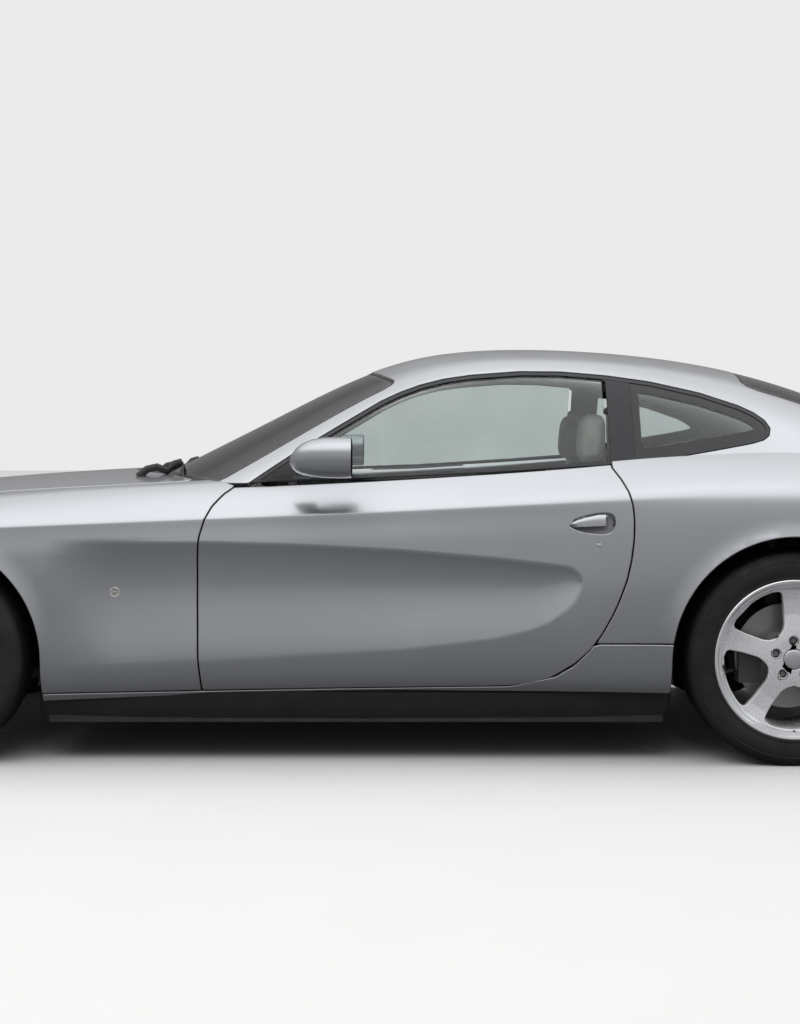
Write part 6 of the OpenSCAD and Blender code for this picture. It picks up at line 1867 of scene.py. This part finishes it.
def build_linings(mats):
    """Headlining, pillar trims, door cards and what shows round an open door."""
    lining = Patch(dome_sheet, (1.2, 11.6), (0, 12), (12, 7)).cuts(
        outside(window_line, 6), outside(screen_line, 10), outside(back_line, 10), lambda p: 20 - belt_line(p),
        lambda p: 900 - p[:, 2])
    sunk_panel("headlining", lining, mats["headliner"], "body", 24, 4, 1)
    for side, flip in SIDES:
        body = f"{side}_door"
        zone = lambda: Patch(body_sheet, (8.7, 14.4), (1, 8.2), (14, 7))
        core = zone().cuts(lambda p: door_line(p) + 34, lambda p: p[:, 2] - 905)
        # the door's inside takes the darkened copy of the body paint: painted shade
        sunk_panel(f"{side}_door_core", core, mats["shaded_paint_in"], body, 17.5, 64, 2, flip)
        card = zone().cuts(lambda p: door_line(p) + 42, lambda p: p[:, 2] - 898)
        sunk_panel(f"{side}_door_card", card, mats["leather_dark"], body, 82, 8, 3, flip)
        rest = pad([((x, 772, z), (hy, hz)) for x, z, hy, hz in
                    ((-560, 640, 14, 14), (-540, 640, 26, 22), (-300, 650, 34, 24), (40, 665, 32, 24),
                     (150, 676, 20, 18), (170, 680, 10, 10))], (1, 2), 3)
        solid(f"{side}_door_armrest", rest, mats["leather"], body, 60, flip)
        pull = tube([(60, 782, 752), (40, 764, 758), (-60, 762, 758), (-80, 782, 752)], 8, 10)
        solid(f"{side}_door_pull", pull, mats["chrome"], body, 40, flip)
        sheet_in = Patch(body_sheet, (14.2, 21.9), (6.2, 9.2), (14, 8)).cuts(lambda p: door_line(p) * -1 + 12,
                lambda p: -p[:, 0] - 2150)
        sunk_panel(f"{side}_quarter_lining", sheet_in, mats["leather_dark"], "body", 30, 4, 1, flip)
    bx, by, bz = BOOT_PIN
    boot_arm = tube([(bx + a, by, bz + b) for a,
                     b in ((0, 0), (-12, -130), (-64, -118), (-106, -86), (-134, -40), (-147, -8))],
                    8.5, 12)
    hood_arm = block((2176, 143, 740), (2204, 157, 790), 2)
    for side, flip in SIDES:
        for lid, arm, pin in (("boot", boot_arm, BOOT_PIN), ("hood", hood_arm, HOOD_PIN)):
            eye = outward(*lathe([(8.5, -7), (15, -7), (15, 7), (8.5, 7)], 32, centre=pin, axis="Y"))
            solid(f"{side}_{lid}_hinge_arm", join(arm, eye), mats["steel"], "boot_lid" if lid == "boot" else lid, 40,
                  flip)


KEPT = {"floor_pan": "underbody", "arch_liners": "liner", "engine": "cast", "exhaust": "steel",
        "front_subframe": "cast",
        "rear_subframe": "cast", "steering_wheel": "leather_dark", "_knuckle": "cast", "_disc": "disc",
        "_door_hinges": "steel"}


def dress_kept_nodes(mats):
    """Gives each CAD node that still shows its material."""
    for name, node in frame["nodes"].items():
        for ending, mat in KEPT.items():
            if name.endswith(ending):
                node.data.materials.clear()
                node.data.materials.append(mats[mat])


# ---- Stage: camera, floor and light ----

# Place in metres, looking straight at the left side; sensor height, focal length and upward shift
CAMERA_AT = (-0.1215, 6.93, 1.122)
CAMERA_LENS = (36, 63.9, -0.083)
FLOOR_HALF = 40
# Brightness of the sky from straight down (0) over level (0.5) to straight up (1)
SKY = ((0.0, 0.22), (0.50, 0.36), (0.70, 0.50), (0.80, 1.40), (1.0, 1.6))
FAR_SIDE = 0.66
BACKDROP = (0.83, 0.83, 0.825, 1)


def build_stage(look):
    scene = bpy.context.scene
    cam = bpy.data.cameras.new("camera")
    cam.sensor_fit, cam.sensor_height, cam.lens, cam.shift_y = "VERTICAL", *CAMERA_LENS
    cam.dof.use_dof = False
    o = bpy.data.objects.new("camera", cam)
    o.location, o.rotation_euler = CAMERA_AT, (math.radians(90), 0, math.radians(180))
    scene.collection.objects.link(o)
    scene.camera = o
    scene.view_settings.view_transform = "Standard"

    me = bpy.data.meshes.new("floor")
    bm = bmesh.new()
    bmesh.ops.create_grid(bm, x_segments=1, y_segments=1, size=FLOOR_HALF)
    bm.to_mesh(me)
    bm.free()
    floor = bpy.data.objects.new("floor", me)
    s = Shader("pale_floor", tuple(look.floor_color), 0.9)
    c = s.ramp(s.noise(3, 4), (0.3, shade(look.floor_color, 0.985)), (0.7, tuple(look.floor_color)))
    # the floor that the paint mirrors is a darker one, as on a lot of dark ground
    seen = s.mix((*look.mirrored_floor, 1), c, s.add("LightPath").outputs["Is Camera Ray"])
    me.materials.append(s.wire(Base_Color=seen, Normal=s.bump(s.noise(300), 0.04, 0.001)).mat)
    scene.collection.objects.link(floor)

    world = bpy.data.worlds.new("studio")
    scene.world = world
    world.use_nodes = True
    t = world.node_tree
    back, out = t.nodes["Background"], t.nodes["World Output"]
    coord, sep = t.nodes.new("ShaderNodeTexCoord"), t.nodes.new("ShaderNodeSeparateXYZ")
    ramp = t.nodes.new("ShaderNodeValToRGB")
    t.links.new(coord.outputs["Generated"], sep.inputs[0])
    up = t.nodes.new("ShaderNodeMapRange")
    up.inputs["From Min"].default_value = -1
    t.links.new(sep.outputs["Z"], up.inputs["Value"])
    t.links.new(up.outputs[0], ramp.inputs["Fac"])
    ramp_stops(ramp, [(at, (v, v, v * 1.01)) for at, v in SKY])
    t.links.new(ramp.outputs["Color"], back.inputs["Color"])
    # the side away from the camera is a little darker
    side = t.nodes.new("ShaderNodeMapRange")
    for label, v in (("From Min", -0.6), ("From Max", 0.1),
                     ("To Min", FAR_SIDE * look.sky_strength), ("To Max", look.sky_strength)):
        side.inputs[label].default_value = v
    t.links.new(sep.outputs["Y"], side.inputs["Value"])
    t.links.new(side.outputs[0], back.inputs["Strength"])
    white = t.nodes.new("ShaderNodeBackground")
    white.inputs["Color"].default_value = BACKDROP
    path, mix = t.nodes.new("ShaderNodeLightPath"), t.nodes.new("ShaderNodeMixShader")
    t.links.new(path.outputs["Is Camera Ray"], mix.inputs[0])
    t.links.new(back.outputs[0], mix.inputs[1])
    t.links.new(white.outputs[0], mix.inputs[2])
    t.links.new(mix.outputs[0], out.inputs["Surface"])

    for name, place, aim, size, power in (
            ("soft_key", (1.5, 5.5, 5.5), (0, 0, 0.6), (5, 3), look.key_power),
            ("soft_top", (-0.5, -0.5, 6.5), (0, 0, 0), (7, 4), look.key_power * 0.8),
            ("soft_back", (-3, -6, 4.5), (0, 0, 0.6), (6, 3), look.key_power * 0.5)):
        light = bpy.data.lights.new(name, "AREA")
        light.shape, light.size, light.size_y, light.energy = "RECTANGLE", *size, power
        lo = bpy.data.objects.new(name, light)
        lo.location = place
        lo.visible_glossy = False
        lo.rotation_euler = (Vector(aim) - Vector(place)).to_track_quat("-Z", "Y").to_euler()
        scene.collection.objects.link(lo)


# ---- Settings, operators and panel ----


class CoupeLook(bpy.types.PropertyGroup):
    """Colours and counts of the car itself."""
    paint_color: FloatVectorProperty(name="Paint colour", description="Base colour of the body paint",
            subtype="COLOR", size=3,
                                     min=0, max=1, default=(0.50, 0.515, 0.54))
    paint_roughness: FloatProperty(name="Paint roughness", description="Spread of the highlights under the lacquer",
                                   subtype="FACTOR", min=0.05, max=0.8, default=0.30)
    tread_blocks: IntProperty(name="Tread blocks", description="Shoulder blocks round each side of a tyre", min=24,
                              max=120, default=72)
    grille_bars: IntProperty(name="Grille bars", description="Level bars in the front opening", min=3, max=30,
                             default=13)
    grille_posts: IntProperty(name="Grille posts", description="Upright bars in the front opening", min=3, max=80,
                              default=41)


class CoupeStage(bpy.types.PropertyGroup):
    """Floor and light."""
    floor_color: FloatVectorProperty(name="Floor colour", description="Colour of the floor as the camera sees it",
            subtype="COLOR",
                                     size=3, min=0, max=1, default=(0.60, 0.60, 0.59))
    mirrored_floor: FloatVectorProperty(name="Mirrored floor",
            description="Colour of the floor as the car's surfaces see it",
                                        subtype="COLOR", size=3, min=0, max=1, default=(0.10, 0.10, 0.10))
    sky_strength: FloatProperty(name="Sky strength", description="Brightness of the soft surroundings", min=0, max=3,
                                default=1.0)
    key_power: FloatProperty(name="Key power", description="Power of the soft light on the side that the camera sees",
                             unit="POWER", min=0, max=2000, default=160)


made = {}


def materials(context):
    """Every material, made on the first call."""
    if not made:
        made.update(build_materials(context.scene.coupe_look))
    return made


class COUPE_OT_body_panels(bpy.types.Operator):
    """Fenders, doors, quarters, roof, lids, bumpers and sill strips"""
    bl_idname = "coupe.body_panels"
    bl_label = "Body panels"

    def execute(self, context):
        build_panels(materials(context))
        return {"FINISHED"}


class COUPE_OT_windows(bpy.types.Operator):
    """Glass with its seals, borders and pillar covers"""
    bl_idname = "coupe.windows"
    bl_label = "Windows"

    def execute(self, context):
        build_windows(materials(context))
        return {"FINISHED"}


class COUPE_OT_handles(bpy.types.Operator):
    """Door handles, key locks and side lamps"""
    bl_idname = "coupe.handles"
    bl_label = "Handles and side lamps"

    def execute(self, context):
        build_handles(materials(context))
        return {"FINISHED"}


class COUPE_OT_mirrors(bpy.types.Operator):
    """Outside mirrors on their feet"""
    bl_idname = "coupe.mirrors"
    bl_label = "Mirrors"

    def execute(self, context):
        build_mirrors(materials(context))
        return {"FINISHED"}


class COUPE_OT_wheels(bpy.types.Operator):
    """Wheels with bolts, caps, valves and tyres"""
    bl_idname = "coupe.wheels"
    bl_label = "Wheels"

    def execute(self, context):
        build_wheels(materials(context), context.scene.coupe_look)
        return {"FINISHED"}


class COUPE_OT_ends(bpy.types.Operator):
    """Lamps, grille, exhaust tips, cowl and wipers"""
    bl_idname = "coupe.ends"
    bl_label = "Nose, tail and cowl"

    def execute(self, context):
        build_ends(materials(context), context.scene.coupe_look)
        return {"FINISHED"}


class COUPE_OT_skirts(bpy.types.Operator):
    """Black skirts under the sills"""
    bl_idname = "coupe.skirts"
    bl_label = "Skirts"

    def execute(self, context):
        build_skirts(materials(context))
        return {"FINISHED"}


class COUPE_OT_front_seats(bpy.types.Operator):
    """Front seats with their cushions, frames and belts"""
    bl_idname = "coupe.front_seats"
    bl_label = "Front seats"

    def execute(self, context):
        build_front_seats(materials(context))
        return {"FINISHED"}


class COUPE_OT_rear_seat(bpy.types.Operator):
    """Rear seat, side trims and parcel shelf"""
    bl_idname = "coupe.rear_seat"
    bl_label = "Rear seat"

    def execute(self, context):
        build_rear_seat(materials(context))
        return {"FINISHED"}


class COUPE_OT_dashboard(bpy.types.Operator):
    """Dashboard, console, carpets, pedals and inner mirror"""
    bl_idname = "coupe.dashboard"
    bl_label = "Dashboard and console"

    def execute(self, context):
        build_dashboard(materials(context))
        return {"FINISHED"}


class COUPE_OT_linings(bpy.types.Operator):
    """Headlining, door cards and the lids' hinge arms"""
    bl_idname = "coupe.linings"
    bl_label = "Linings"

    def execute(self, context):
        build_linings(materials(context))
        return {"FINISHED"}


class COUPE_OT_kept_nodes(bpy.types.Operator):
    """Materials for the frame's own shapes: floor, engine, axles, discs and hinges"""
    bl_idname = "coupe.kept_nodes"
    bl_label = "Floor, engine and axles"

    def execute(self, context):
        dress_kept_nodes(materials(context))
        return {"FINISHED"}


class COUPE_OT_stage(bpy.types.Operator):
    """Camera, floor and soft light"""
    bl_idname = "coupe.stage"
    bl_label = "Stage"

    def execute(self, context):
        build_stage(context.scene.coupe_stage)
        return {"FINISHED"}


class COUPE_PT_looks(bpy.types.Panel):
    """Settings and build steps of the coupe"""
    bl_label = "Coupe looks"
    bl_idname = "COUPE_PT_looks"
    bl_space_type = "VIEW_3D"
    bl_region_type = "UI"
    bl_category = "Coupe"

    def draw(self, context):
        for title, group, steps in (("Car", context.scene.coupe_look, CAR_STEPS),
                                    ("Stage", context.scene.coupe_stage, STAGE_STEPS)):
            box = self.layout.box()
            box.label(text=title)
            for name in group.__annotations__:
                box.prop(group, name)
            for step in steps:
                box.operator(step.bl_idname)


CAR_STEPS = (COUPE_OT_body_panels, COUPE_OT_windows, COUPE_OT_handles, COUPE_OT_mirrors, COUPE_OT_wheels,
             COUPE_OT_ends, COUPE_OT_skirts,
             COUPE_OT_front_seats, COUPE_OT_rear_seat, COUPE_OT_dashboard, COUPE_OT_linings, COUPE_OT_kept_nodes)
STAGE_STEPS = (COUPE_OT_stage,)
GROUPS = (CoupeLook, CoupeStage)


def register():
    for c in (*GROUPS, *CAR_STEPS, *STAGE_STEPS, COUPE_PT_looks):
        bpy.utils.register_class(c)
    bpy.types.Scene.coupe_look = PointerProperty(type=CoupeLook)
    bpy.types.Scene.coupe_stage = PointerProperty(type=CoupeStage)


def unregister():
    del bpy.types.Scene.coupe_look, bpy.types.Scene.coupe_stage
    for c in reversed((*GROUPS, *CAR_STEPS, *STAGE_STEPS, COUPE_PT_looks)):
        bpy.utils.unregister_class(c)


def main():
    register()
    bpy.ops.coupe.stage()
    bpy.ops.coupe.body_panels()
    bpy.ops.coupe.windows()
    bpy.ops.coupe.handles()
    bpy.ops.coupe.mirrors()
    bpy.ops.coupe.wheels()
    bpy.ops.coupe.ends()
    bpy.ops.coupe.skirts()
    bpy.ops.coupe.front_seats()
    bpy.ops.coupe.rear_seat()
    bpy.ops.coupe.dashboard()
    bpy.ops.coupe.linings()
    bpy.ops.coupe.kept_nodes()


if __name__ == "__main__":
    main()
